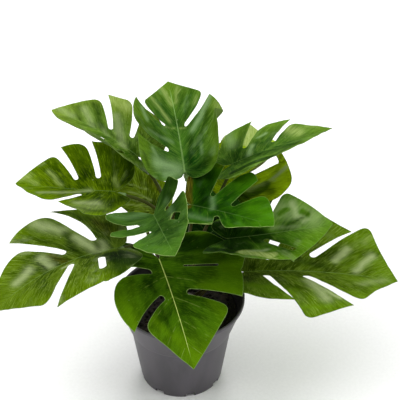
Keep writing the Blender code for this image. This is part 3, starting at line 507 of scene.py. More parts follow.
def stem_frame(leaf):
    """The mouth of the socket under the leaf, and the way that the stem runs away from it."""
    along, right, normal = leaf_axes(leaf)
    a, b = math.radians(leaf["stem"]["leave"]), math.radians(leaf["stem"]["side"])
    away = (-along * math.cos(a) - normal * math.sin(a)) * math.cos(b) + right * math.sin(b)
    under = np.array(leaf["at"], float) - normal * 2.2
    return under + away * NECK_DROP, away, under


def hub_place(leaf):
    radius, first, turn = RINGS[leaf["stem"]["ring"]]
    angle = math.radians(first + turn * leaf["stem"]["place"])
    lean = np.array([*leaf["stem"]["lean"], 1.0])
    return np.array([radius * math.cos(angle), radius * math.sin(angle), HUB_TOP_Z]), lean / np.linalg.norm(lean)


def stem_line(leaf, n):
    """From the bottom of the stem's plug in the hub to its end in the rib's socket."""
    foot, up = hub_place(leaf)
    mouth, away, _ = stem_frame(leaf)
    a, b = foot + up * leaf["stem"]["rise"], mouth + away * leaf["stem"]["reach"]
    t = np.linspace(0, 1, n)[:, None]
    bow = (1 - t) ** 3 * foot + 3 * t * (1 - t) ** 2 * a + 3 * t * t * (1 - t) * b + t**3 * mouth
    return np.concatenate([[foot - up * PLUG_DEPTH], bow, [mouth - away * SOCKET_DEPTH]])


# The pot, its fill and the hub


def pot_outer(z):
    """The pot's outer radius at a height."""
    heights = [0, 1.2, 4.5, POT_COLLAR_Z, POT_COLLAR_Z + 1.0, POT_HEIGHT - POT_LIP - 0.6]
    radii = [POT_BASE_RADIUS - 1.0, POT_BASE_RADIUS - 0.5, POT_BASE_RADIUS, POT_COLLAR_RADIUS, POT_COLLAR_RADIUS + 1.0]
    return float(np.interp(z, heights, radii + [POT_RIM_RADIUS - 1.4]))


def pot_profile():
    inner = [(pot_outer(z) - POT_WALL, z) for z in (POT_FLOOR_Z + POT_FLOOR, 30.0, POT_COLLAR_Z - 0.3, POT_COLLAR_Z + 1.3)]
    top, lip = POT_RIM_RADIUS, POT_HEIGHT - POT_LIP
    inner += [(pot_outer(lip - 0.6) - POT_WALL, lip - 0.6), (top - 2.4, POT_HEIGHT - 1.0)]
    over = [(top - 1.7, POT_HEIGHT), (top - 0.8, POT_HEIGHT), (top, POT_HEIGHT - 0.8), (top, lip), (top - 1.4, lip - 0.6)]
    outer = [(pot_outer(z), z) for z in (POT_COLLAR_Z + 1.0, POT_COLLAR_Z, 34.0, 4.5, 1.2, 0.0)]
    under = [(pot_outer(0) - 1.8, 0.0), (pot_outer(0) - 2.2, POT_FLOOR_Z)]
    boss = [(BOSS_RADIUS + 0.6, POT_FLOOR_Z), (BOSS_RADIUS, 0.0), (0.0, 0.0)]
    return [(0.0, POT_FLOOR_Z + POT_FLOOR)] + inner + over + outer + under + boss


# Helpers for meshes


def noise_at(points, cell, seed):
    """Smooth noise from -1 to 1 at each point, with the cell in the points' unit."""
    shift = Vector((seed * 7.31, seed * 3.77, seed * 1.93))
    return np.array([noise.noise(Vector(p) / cell + shift) for p in points])


def piece(name, points, faces, slots, kinds=None, values=None, sharp=None):
    """A mesh object in the scene from points in mm. kinds gives each face's place among the slots' materials."""
    mesh = bpy.data.meshes.new(name)
    mesh.from_pydata((np.asarray(points, float) * MM).tolist(), [], [list(map(int, face)) for face in faces])
    for one in slots:
        mesh.materials.append(one)
    if kinds is not None:
        mesh.polygons.foreach_set("material_index", np.asarray(kinds, np.int32))
    mesh.shade_smooth()
    for key, rows in (values or {}).items():
        rows = np.asarray(rows, np.float32)
        if rows.ndim == 1:
            mesh.attributes.new(key, "FLOAT", "POINT").data.foreach_set("value", rows)
        else:
            mesh.attributes.new(key, "FLOAT_VECTOR", "POINT").data.foreach_set("vector", rows.ravel())
    if sharp is not None:
        ends = np.empty(len(mesh.edges) * 2, np.int32)
        mesh.edges.foreach_get("vertices", ends)
        ends = np.sort(ends.reshape(-1, 2), axis=1).astype(np.int64)
        count = len(points)
        wanted = np.sort(np.asarray(sharp, np.int64), axis=1)
        marked = np.isin(ends[:, 0] * count + ends[:, 1], wanted[:, 0] * count + wanted[:, 1])
        mesh.attributes.new("sharp_edge", "BOOLEAN", "EDGE").data.foreach_set("value", marked)
    mesh.update()
    made = bpy.data.objects.new(name, mesh)
    bpy.context.scene.collection.objects.link(made)
    return made


def place(made, node):
    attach(made, "root")
    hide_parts(node)


def smooth_line(points, spacing):
    """Points about `spacing` apart on a smooth line through the given ones, and how far along each lies, from 0 to 1."""
    points = np.asarray(points, float)
    whole = np.concatenate([[2 * points[0] - points[1]], points, [2 * points[-1] - points[-2]]])
    found = [points[:1]]
    for p0, p1, p2, p3 in zip(whole, whole[1:], whole[2:], whole[3:]):
        n = max(2, int(math.ceil(np.linalg.norm(p2 - p1) / spacing)))
        t = np.linspace(0, 1, n + 1)[1:, None]
        found.append(0.5 * (2 * p1 + (p2 - p0) * t + (2 * p0 - 5 * p1 + 4 * p2 - p3) * t**2 + (3 * p1 - p0 - 3 * p2 + p3) * t**3))
    found = np.concatenate(found)
    far = np.concatenate([[0], np.cumsum(np.linalg.norm(np.diff(found, axis=0), axis=1))])
    return found, far


def frames(line):
    """Two unit vectors across the line at each of its points, turned as little as possible along it."""
    ways = np.gradient(line, axis=0)
    ways /= np.linalg.norm(ways, axis=1)[:, None]
    side = np.cross(ways[0], [0, 0, 1.0] if abs(ways[0][2]) < 0.9 else [1.0, 0, 0])
    sides = []
    for way in ways:
        side = side - way * (side @ way)
        side /= np.linalg.norm(side)
        sides.append(side)
    sides = np.array(sides)
    return sides, np.cross(ways, sides), ways


def rod(line, radii, around, flutes=None):
    """Points and faces of a closed rod: rings round the line with caps. radii is one number a ring, or a grid."""
    one, two, _ = frames(line)
    radii = np.asarray(radii, float)
    if radii.ndim == 1:
        radii = np.repeat(radii[:, None], around, 1)
    turn = np.linspace(0, 2 * math.pi, around, endpoint=False)
    if flutes is not None:
        radii = radii + flutes
    ring = one[:, None] * np.cos(turn)[None, :, None] + two[:, None] * np.sin(turn)[None, :, None]
    points = (line[:, None] + ring * radii[:, :, None]).reshape(-1, 3)
    faces = []
    for i in range(len(line) - 1):
        for k in range(around):
            a, b = i * around + k, i * around + (k + 1) % around
            faces.append((a, b, b + around, a + around))
    last = (len(line) - 1) * around
    points = np.concatenate([points, line[:1], line[-1:]])
    for k in range(around):
        faces.append((len(points) - 2, (k + 1) % around, k))
        faces.append((len(points) - 1, last + k, last + (k + 1) % around))
    return points, faces


# Materials. Every one is made of nodes on the surface's own coordinates.


PALE_EDGE = ("front", "centre_left", "centre_right")
RIB_LINE = (204, 222, 120)


def srgb(r, g, b):
    """A colour given as 0..255 screen values."""
    return [(c / 255 / 12.92 if c <= 10 else ((c / 255 + 0.055) / 1.055) ** 2.4) for c in (r, g, b)] + [1.0]


class Look:
    """A material and short ways to write its nodes."""

    def __init__(self, name):
        self.made = bpy.data.materials.new(name)
        self.made.use_nodes = True
        self.tree = self.made.node_tree
        self.shader = self.tree.nodes["Principled BSDF"]

    def put(self, kind, **settings):
        node = self.tree.nodes.new("ShaderNode" + kind)
        for key, value in settings.items():
            setattr(node, key, value)
        return node

    def join(self, value, socket):
        if isinstance(value, bpy.types.NodeSocket):
            self.tree.links.new(value, socket)
        else:
            socket.default_value = value

    def math(self, operation, a, b=0.0, c=None, clamp=False):
        node = self.put("Math", operation=operation, use_clamp=clamp)
        self.join(a, node.inputs[0])
        self.join(b, node.inputs[1])
        if c is not None:
            self.join(c, node.inputs[2])
        return node.outputs[0]

    def times(self, first, *others):
        for other in others:
            first = self.math("MULTIPLY", first, other)
        return first

    def plus(self, a, b):
        return self.math("ADD", a, b)

    def ease(self, value, low, high, start=0.0, end=1.0):
        """The value as start at low and end at high, with soft ends."""
        node = self.put("MapRange", interpolation_type="SMOOTHSTEP")
        self.join(value, node.inputs[0])
        for socket, number in zip(node.inputs[1:5], (low, high, start, end)):
            self.join(number, socket)
        return node.outputs[0]

    def mix(self, share, a, b, blend="MIX"):
        node = self.put("Mix", data_type="RGBA", blend_type=blend)
        self.join(share, node.inputs[0])
        self.join(a, node.inputs[6])
        self.join(b, node.inputs[7])
        return node.outputs[2]

    def vector(self, x, y, z):
        node = self.put("CombineXYZ")
        for socket, value in zip(node.inputs, (x, y, z)):
            self.join(value, socket)
        return node.outputs[0]

    def noise(self, at, scale, detail=2.0, rough=0.5, warp=0.0):
        node = self.put("TexNoise", noise_dimensions="3D")
        self.join(at, node.inputs["Vector"])
        node.inputs["Scale"].default_value = scale
        node.inputs["Detail"].default_value = detail
        node.inputs["Roughness"].default_value = rough
        node.inputs["Distortion"].default_value = warp
        return node.outputs[0]

    def flecks(self, at, scale, size):
        """Small spots, in about a third of the cells."""
        node = self.put("TexVoronoi", feature="F1", distance="EUCLIDEAN")
        self.join(at, node.inputs["Vector"])
        node.inputs["Scale"].default_value = scale
        parts = self.put("SeparateColor")
        self.join(node.outputs["Color"], parts.inputs[0])
        kept = self.math("GREATER_THAN", parts.outputs[0], 0.66)
        return self.times(self.ease(node.outputs["Distance"], size * 0.4, size, 1.0, 0.0), kept)

    def read(self, name):
        """The three numbers of a vector attribute, or the number of a plain one as the fourth."""
        node = self.put("Attribute", attribute_name=name, attribute_type="GEOMETRY")
        parts = self.put("SeparateXYZ")
        self.join(node.outputs["Vector"], parts.inputs[0])
        return parts.outputs[0], parts.outputs[1], parts.outputs[2], node.outputs["Fac"]

    def place(self):
        """The surface's coordinates in mm."""
        node = self.put("VectorMath", operation="SCALE")
        self.join(self.put("TexCoord").outputs["Object"], node.inputs[0])
        node.inputs["Scale"].default_value = 1000.0
        return node.outputs[0]

    def bump(self, height, strength, distance_mm):
        node = self.put("Bump")
        node.inputs["Strength"].default_value = strength
        node.inputs["Distance"].default_value = distance_mm * MM
        self.join(height, node.inputs["Height"])
        self.join(node.outputs[0], self.shader.inputs["Normal"])

    def finish(self, colour, roughness, specular=0.5, coat=0.0, coat_roughness=0.3, index=1.45):
        self.join(colour, self.shader.inputs["Base Color"])
        self.join(roughness, self.shader.inputs["Roughness"])
        self.shader.inputs["Specular IOR Level"].default_value = specular
        self.shader.inputs["IOR"].default_value = index
        self.shader.inputs["Coat Weight"].default_value = coat
        self.shader.inputs["Coat Roughness"].default_value = coat_roughness
        return self.made


# How each leaf is printed: its deep, middle and light greens and the light green of its lobes' ends, then how strong
# are the painted grey sheen between the veins (a painted highlight), the pale vein lines, the midrib's line, its half
# width in mm, the pale cut edge and the streaks. relief is the height of the pillows between the veins, in mm.
PRINT = {
    "top_left": dict(deep=(46, 79, 8), mid=(87, 120, 30), light=(138, 163, 78), tip=(132, 155, 50), sheen_strength=0.24, vein=0.12, rib=0.25, wide=0.7, rim=0.25, streak=0.65, relief=0.7),
    "top_centre": dict(deep=(28, 71, 15), mid=(65, 106, 29), light=(116, 148, 60), tip=(107, 140, 28), sheen_strength=0.22, vein=0.12, rib=0.8, wide=2.0, rim=0.25, streak=0.58, relief=0.7),
    "upper_right": dict(deep=(36, 71, 16), mid=(70, 105, 32), light=(113, 142, 54), tip=(107, 143, 38), sheen_strength=0.12, vein=0.15, rib=0.2, wide=0.7, rim=0.25, streak=0.58, relief=0.7),
    "back_right": dict(deep=(85, 109, 0), mid=(139, 169, 4), light=(186, 215, 35), tip=(177, 209, 18), sheen_strength=0.10, vein=0.15, rib=0.2, wide=0.7, rim=0.25, streak=0.8, relief=0.7),
    "left": dict(deep=(39, 63, 0), mid=(76, 100, 1), light=(117, 145, 19), tip=(103, 137, 4), sheen_strength=0.10, vein=0.15, rib=0.25, wide=0.7, rim=0.25, streak=0.9, relief=0.7),
    "low_left": dict(deep=(38, 61, 0), mid=(75, 99, 13), light=(122, 145, 58), tip=(100, 131, 9), sheen_strength=0.25, vein=0.15, rib=0.35, wide=0.8, rim=0.3, streak=0.9, relief=0.8),
    "centre_left": dict(deep=(30, 61, 14), mid=(58, 92, 29), light=(86, 122, 53), tip=(79, 123, 31), sheen_strength=0.10, vein=0.15, rib=0.2, wide=0.7, rim=0.45, streak=0.42, relief=0.5),
    "centre_right": dict(deep=(18, 54, 4), mid=(40, 86, 6), light=(66, 116, 10), tip=(71, 126, 8), sheen_strength=0.06, vein=0.10, rib=0.15, wide=0.7, rim=0.45, streak=0.45, relief=0.4),
    "right": dict(deep=(38, 73, 9), mid=(69, 112, 21), light=(129, 162, 66), tip=(98, 142, 23), sheen_strength=0.25, vein=0.15, rib=0.3, wide=0.7, rim=0.3, streak=0.5, relief=0.7),
    "low_right": dict(deep=(43, 63, 0), mid=(77, 103, 14), light=(127, 150, 60), tip=(96, 132, 15), sheen_strength=0.08, vein=0.15, rib=0.5, wide=0.7, rim=0.3, streak=0.78, relief=0.8),
    "front": dict(deep=(31, 60, 3), mid=(64, 103, 9), light=(106, 145, 30), tip=(92, 131, 7), sheen_strength=0.0, vein=0.38, rib=0.95, wide=0.75, rim=0.75, streak=0.45, relief=0.4),
    "back_left": dict(deep=(58, 79, 0), mid=(98, 123, 13), light=(142, 173, 54), tip=(117, 149, 10), sheen_strength=0.08, vein=0.35, rib=0.3, wide=0.6, rim=0.3, streak=1.1, relief=0.6),
    # inner_right is printed in dark greens as painted shade: it sits under the other leaves.
    "inner_right": dict(deep=(16, 44, 6), mid=(28, 64, 10), light=(48, 90, 22), tip=(40, 84, 14), sheen_strength=0.0, vein=0.15, rib=0.2, wide=0.6, rim=0.3, streak=0.5, relief=0.6),
}

# Soft marks in the print, as strokes from u1, v1 to u2, v2 with their half width in mm and their strength:
# h is a painted grey sheen on a crown (a painted highlight), y pale yellow-green print, w painted light (a lighter
# green), d painted shade (a darker place), b olive brown and c a clear place in the painted sheen.
PATCHES = {
    "top_left": [
        ("h", 0.72, 0.18, 0.56, 0.04, 3.5, 0.50), ("h", 0.93, 0.05, 0.78, 0.02, 4.0, 0.40), ("y", 0.54, 0.44, 0.37, 0.42, 5.4, 0.50),
        ("h", 0.40, 0.27, 0.18, -0.01, 4.2, 0.50), ("d", 0.66, 0.28, 0.47, 0.06, 3.5, 0.80), ("y", 0.39, 0.46, 0.31, 0.47, 2.5, 0.50),
        ("d", 0.78, 0.16, 0.69, 0.05, 3.4, 0.45), ("d", 0.08, 0.02, -0.03, -0.06, 5.1, 0.70), ("h", 0.50, 0.08, 0.36, 0.01, 2.8, 0.30),
        ("d", 0.59, 0.05, 0.13, 0.04, 1.9, 0.40),
    ],
    "top_centre": [
        ("y", 0.70, -0.25, 0.50, -0.08, 2.5, 0.55), ("y", 0.88, -0.10, 0.71, -0.02, 2.5, 0.60), ("y", 0.86, 0.08, 0.72, 0.04, 2.2, 0.50),
        ("h", 0.55, 0.39, 0.33, 0.16, 3.3, 0.70), ("h", 0.00, -0.29, -0.01, -0.07, 7.6, 0.75), ("d", 0.05, -0.47, -0.06, -0.42, 2.4, 0.60),
        ("h", 0.14, -0.34, 0.06, -0.28, 2.3, 0.50), ("h", -0.09, -0.21, -0.03, -0.07, 5.2, 0.60), ("d", 0.58, 0.18, 0.47, 0.08, 2.3, 0.60),
        ("d", 0.45, 0.23, 0.39, 0.09, 2.8, 0.60), ("y", 0.62, 0.27, 0.58, 0.23, 2.3, 0.40), ("y", 0.45, 0.45, 0.31, 0.51, 4.0, 0.50),
        ("d", 0.41, 0.35, 0.13, 0.16, 4.5, 0.60), ("h", 0.15, 0.24, 0.07, 0.23, 2.4, 0.40), ("d", 0.37, -0.50, 0.32, -0.21, 4.4, 0.50),
        ("d", -0.03, 0.32, -0.06, 0.05, 7.8, 0.80), ("d", 0.25, 0.13, 0.02, 0.07, 5.0, 0.70), ("h", 0.52, -0.41, 0.42, -0.36, 2.3, 0.60),
        ("h", 0.32, -0.36, 0.27, -0.09, 2.1, 0.40), ("y", 0.40, -0.16, 0.44, -0.03, 0.6, 0.40), ("y", 0.44, -0.02, 0.39, 0.09, 0.5, 0.40),
        ("y", 0.86, -0.06, 0.71, 0.01, 0.8, 0.60), ("y", 0.82, 0.12, 0.72, 0.02, 0.7, 0.60), ("d", 0.53, -0.27, 0.41, -0.11, 1.5, 0.60),
        ("d", 0.54, 0.00, 0.42, 0.05, 4.1, 0.50),
    ],
    "upper_right": [
        ("d", -0.01, 0.01, 0.68, 0.29, 4.1, 0.50), ("d", 0.02, 0.31, 0.39, 0.40, 6.7, 1.00), ("d", 0.49, 0.38, 0.68, 0.24, 2.7, 0.80),
        ("d", 0.37, 0.41, 0.68, 0.34, 3.2, 0.85), ("d", -0.07, 0.38, 0.14, 0.47, 5.2, 0.80), ("d", 0.08, -0.05, 0.44, 0.18, 5.8, 0.60),
        ("h", 0.01, -0.53, 0.04, -0.30, 5.4, 0.45), ("d", 0.06, -0.25, 0.21, -0.55, 4.8, 0.50), ("d", 0.03, -0.13, 0.18, 0.14, 9.6, 0.60),
        ("y", 0.59, -0.28, 0.69, -0.10, 6.2, 0.60), ("h", 0.29, -0.28, 0.37, -0.33, 1.7, 0.70), ("h", 0.16, -0.03, 0.22, -0.17, 2.5, 0.70),
        ("y", 0.76, -0.21, 0.87, -0.12, 2.3, 0.30), ("d", 0.31, -0.11, 0.42, -0.15, 3.0, 0.30),
    ],
    "back_right": [
        ("y", 0.93, -0.18, 0.98, -0.10, 6.4, 1.00), ("y", 0.74, -0.04, 0.68, -0.10, 7.9, 1.00), ("y", 0.85, -0.09, 0.79, -0.08, 11.2, 1.00),
        ("h", 0.48, -0.27, 0.40, -0.10, 5.8, 0.70), ("y", -0.03, 0.17, 0.01, 0.28, 3.3, 0.50), ("d", -0.14, 0.08, -0.02, 0.30, 7.7, 1.00),
        ("d", 0.00, 0.31, -0.12, 0.38, 4.7, 0.60), ("d", 0.19, -0.06, 0.11, 0.11, 7.1, 0.70), ("h", 0.06, 0.38, 0.16, 0.48, 3.2, 0.95),
        ("w", -0.03, 0.47, -0.12, 0.51, 4.8, 0.20), ("y", 0.04, 0.34, 0.01, 0.39, 1.6, 0.80), ("d", 0.06, -0.24, 0.07, -0.12, 6.8, 0.80),
        ("d", 0.18, 0.25, 0.21, 0.32, 2.9, 0.35),
    ],
    "left": [
        ("y", 0.67, 0.18, 0.54, 0.05, 2.4, 0.55), ("y", 0.87, 0.05, 0.79, 0.03, 2.6, 0.45), ("y", 0.96, 0.07, 0.87, 0.11, 3.4, 0.60),
        ("h", 0.77, -0.24, 0.24, -0.01, 2.8, 0.45), ("h", 0.34, -0.37, 0.13, -0.30, 5.5, 0.62), ("h", 0.37, -0.51, 0.10, -0.36, 7.5, 0.30),
        ("d", 0.42, -0.50, 0.00, -0.46, 2.9, 0.60), ("d", 0.49, -0.26, 0.29, -0.19, 1.9, 0.40), ("d", 0.05, -0.28, -0.07, -0.19, 5.1, 0.60),
        ("d", -0.12, 0.41, -0.17, 0.14, 8.3, 0.85), ("d", 0.05, 0.47, -0.05, 0.23, 6.1, 0.50), ("y", 0.00, 0.14, -0.04, 0.07, 2.4, 0.40),
        ("d", -0.06, 0.34, -0.16, 0.16, 5.2, 0.50), ("d", 0.43, 0.43, 0.31, 0.18, 5.0, 0.40), ("y", 0.79, 0.25, 0.73, 0.28, 1.4, 0.40),
        ("d", -0.02, -0.33, -0.10, -0.14, 7.3, 0.70),
    ],
    "low_left": [
        ("h", 0.42, 0.49, 0.28, 0.35, 5.7, 0.75), ("h", 0.22, 0.25, 0.13, 0.01, 5.3, 0.85), ("d", 0.28, 0.15, 0.24, -0.05, 5.1, 0.80),
        ("d", 0.28, 0.57, 0.15, 0.50, 1.8, 0.70), ("d", 0.61, 0.40, 0.54, 0.37, 2.4, 0.50), ("h", 0.63, 0.30, 0.56, 0.26, 1.7, 0.40),
        ("h", 0.43, -0.07, 0.35, -0.06, 1.6, 0.80), ("d", 0.27, 0.31, 0.28, 0.20, 4.0, 0.80), ("h", 0.51, 0.16, 0.49, 0.05, 5.0, 0.70),
        ("h", 0.75, 0.07, 0.63, 0.10, 4.6, 0.70), ("h", 0.07, 0.12, 0.08, 0.02, 4.8, 0.60), ("d", 0.11, 0.12, 0.15, -0.03, 3.8, 0.60),
        ("d", 0.08, -0.18, -0.02, -0.45, 14.1, 1.00), ("d", 0.10, -0.34, 0.11, -0.55, 9.6, 0.95), ("b", 0.03, 0.39, -0.05, 0.24, 6.5, 0.50),
        ("b", 0.45, 0.14, 0.38, 0.01, 4.4, 0.50), ("d", 0.55, 0.14, 0.52, 0.01, 1.5, 0.90), ("w", 0.79, -0.09, 0.67, -0.35, 8.4, 0.25),
        ("d", 0.15, 0.49, -0.06, 0.32, 3.6, 0.60), ("h", 0.23, 0.52, 0.10, 0.33, 1.8, 0.45), ("d", 0.43, 0.11, 0.38, 0.01, 4.5, 0.50),
        ("d", 0.50, 0.39, 0.35, 0.20, 2.6, 0.50),
    ],
    "centre_left": [
        ("d", -0.19, -0.32, 0.21, -0.55, 9.6, 0.85), ("d", 0.11, -0.19, 0.25, -0.40, 6.5, 0.70), ("d", 0.08, -0.07, 0.27, -0.27, 6.7, 0.45),
        ("h", 0.01, -0.21, 0.27, -0.20, 3.8, 0.35), ("h", -0.04, 0.45, -0.12, 0.07, 5.4, 0.30), ("d", -0.11, -0.27, 0.14, -0.28, 9.6, 0.70),
        ("w", 0.64, 0.28, 0.80, 0.01, 5.4, 0.30), ("d", 0.38, 0.04, 0.21, -0.06, 4.1, 0.50), ("d", 0.33, -0.07, 0.55, -0.12, 6.4, 0.40),
        ("y", 0.32, -0.12, 0.29, -0.19, 0.7, 0.70), ("y", 0.29, -0.19, 0.43, -0.26, 1.1, 0.70), ("w", 0.76, -0.16, 0.70, -0.23, 2.8, 0.40),
    ],
    "centre_right": [
        ("d", 0.04, -0.42, 0.15, -0.21, 6.5, 0.90), ("d", -0.03, -0.30, 0.15, -0.04, 8.6, 0.80), ("h", 0.17, -0.15, 0.24, -0.02, 2.6, 0.65),
        ("w", 0.60, -0.15, 0.90, -0.12, 7.2, 0.50), ("h", 0.08, 0.18, 0.32, 0.21, 4.7, 0.35), ("d", 0.25, -0.07, 0.40, -0.01, 5.9, 0.40),
        ("w", 0.37, -0.36, 0.48, -0.47, 3.6, 0.30), ("b", -0.14, -0.32, -0.02, 0.03, 3.8, 1.00), ("b", 0.13, -0.49, 0.20, -0.51, 2.4, 0.50),
        ("d", 0.24, -0.25, 0.38, -0.23, 2.8, 0.30), ("w", 0.27, 0.45, 0.50, 0.40, 1.6, 0.60),
    ],
    "right": [
        ("d", -0.18, -0.20, 0.33, 0.05, 9.9, 1.00), ("h", 0.50, -0.27, 0.83, -0.08, 9.4, 0.44), ("h", 0.63, -0.29, 0.67, -0.12, 4.3, 0.85),
        ("c", 0.50, -0.21, 0.57, -0.23, 2.8, 1.00), ("c", 0.72, -0.18, 0.77, -0.14, 3.0, 1.00), ("c", 0.56, -0.06, 0.67, -0.10, 2.2, 0.95),
        ("d", 0.50, -0.21, 0.57, -0.23, 2.4, 0.30), ("d", 0.72, -0.18, 0.77, -0.14, 2.4, 0.30), ("d", 0.58, -0.06, 0.73, -0.12, 0.8, 0.90),
        ("h", 0.72, -0.07, 0.78, -0.09, 1.8, 0.70), ("d", -0.01, 0.02, 0.16, 0.21, 12.4, 1.00), ("d", -0.19, 0.21, 0.09, 0.34, 6.7, 1.00),
        ("y", 0.19, 0.33, 0.44, 0.39, 6.0, 1.00), ("h", 0.18, 0.31, 0.39, 0.27, 2.4, 0.80), ("y", 0.37, 0.43, 0.50, 0.48, 1.7, 1.00),
        ("h", 0.42, -0.06, 0.69, -0.03, 2.4, 0.35), ("w", 0.69, 0.21, 0.86, 0.04, 5.0, 0.35), ("d", 0.34, 0.15, 0.60, 0.27, 3.9, 0.40),
    ],
    "low_right": [
        ("h", 0.59, -0.12, 0.67, -0.23, 3.7, 0.66), ("h", 0.72, -0.04, 0.83, -0.19, 3.9, 0.74), ("c", 0.64, -0.10, 0.69, -0.17, 3.1, 0.80),
        ("d", 0.64, -0.09, 0.69, -0.16, 3.1, 0.40), ("y", 0.78, -0.30, 0.82, -0.35, 2.6, 0.30), ("h", 0.40, 0.20, 0.49, 0.39, 6.1, 0.72),
        ("h", 0.46, 0.29, 0.58, 0.38, 2.6, 0.80), ("d", 0.23, -0.14, 0.51, -0.06, 5.7, 0.70), ("d", 0.40, -0.12, 0.56, -0.20, 4.7, 0.50),
        ("w", 0.32, 0.52, 0.51, 0.47, 3.4, 0.60), ("h", 0.74, 0.16, 0.91, 0.02, 5.5, 0.30), ("w", -0.01, 0.36, 0.25, 0.38, 7.2, 0.80),
        ("d", 0.54, 0.07, 0.67, 0.15, 3.2, 0.30),
    ],
    "front": [
        ("d", -0.14, -0.09, 0.04, -0.54, 11.5, 1.00), ("d", 0.06, -0.32, 0.20, -0.46, 7.2, 0.50), ("d", 0.05, -0.20, 0.20, -0.40, 7.8, 0.45),
        ("w", 0.27, -0.44, 0.34, -0.55, 4.8, 0.70), ("w", 0.45, 0.48, 0.63, 0.43, 5.8, 0.60), ("w", 0.74, 0.08, 0.91, -0.04, 6.4, 0.55),
        ("w", 0.58, 0.25, 0.72, 0.13, 4.3, 0.40), ("w", 0.53, -0.28, 0.65, -0.32, 4.8, 0.40), ("d", 0.08, 0.24, 0.09, 0.11, 5.0, 0.60),
        ("w", 0.38, -0.26, 0.50, -0.45, 5.8, 0.60), ("d", 0.42, 0.15, 0.68, 0.10, 2.9, 0.40), ("d", 0.29, 0.17, 0.41, 0.13, 4.2, 0.40),
    ],
    # Two wide d strokes paint shade over most of inner_right.
    "inner_right": [("d", 0.00, -0.20, 0.20, -0.10, 22.0, 0.90), ("d", 0.00, 0.16, 0.12, 0.30, 14.0, 0.80)],
    "back_left": [
        ("b", 0.40, 0.34, 0.23, 0.34, 4.2, 0.60), ("y", 0.52, -0.17, 0.20, 0.06, 1.5, 0.70), ("y", 0.43, -0.43, 0.12, -0.08, 1.2, 0.60),
        ("d", 0.20, 0.06, -0.01, 0.05, 5.6, 0.80), ("y", 0.57, 0.00, 0.33, 0.17, 0.8, 0.60), ("y", 0.45, -0.30, 0.21, -0.10, 0.7, 0.60),
    ],
}


# Leaves whose near half is seen almost edge on: less gloss.
STEEP = ("upper_right", "low_right")
# The painted sheen's colour, bluer on the leaves printed in bluish green.
SHEEN_COLOUR = dict(top_left=(156, 172, 118), top_centre=(134, 164, 112), centre_left=(118, 152, 100), centre_right=(116, 146, 100), right=(150, 169, 116), upper_right=(136, 166, 108))


def strokes(name, leaf, flat, seed):
    """How strong the painted sheen, the pale print and the painted light or shade are at each flat point of a leaf."""
    size = leaf["length"]
    found = {kind: np.zeros(len(flat)) for kind in "hydwbc"}
    spots = np.stack([flat[:, 0] * size, flat[:, 1] * size, 0 * flat[:, 0]], -1)
    spots[:, 0] += noise_at(spots, 9.0, seed + 80) * 1.6
    spots[:, 1] += noise_at(spots, 9.0, seed + 90) * 1.6
    for kind, u1, v1, u2, v2, width, strength in PATCHES.get(name, []):
        first, last = np.array([u1, v1]) * size, np.array([u2, v2]) * size
        way = last - first
        share = np.clip((spots[:, :2] - first) @ way / max(way @ way, 1e-6), 0, 1)
        away = np.linalg.norm(spots[:, :2] - first - share[:, None] * way, axis=1)
        # A stroke of full strength has a crisp edge, a weaker one a soft edge.
        fade = np.exp(-((away / width) ** (8 if strength >= 1 else 2)))
        found[kind] = np.maximum(found[kind], strength * fade)
    # The painted sheen gives way where painted shade lies and in the clear places.
    found["h"] *= (1 - 0.85 * np.clip(found["d"], 0, 1)) * (1 - found["c"])
    return np.stack([found["h"], found["y"], found["w"] - found["d"]], -1), found["b"]


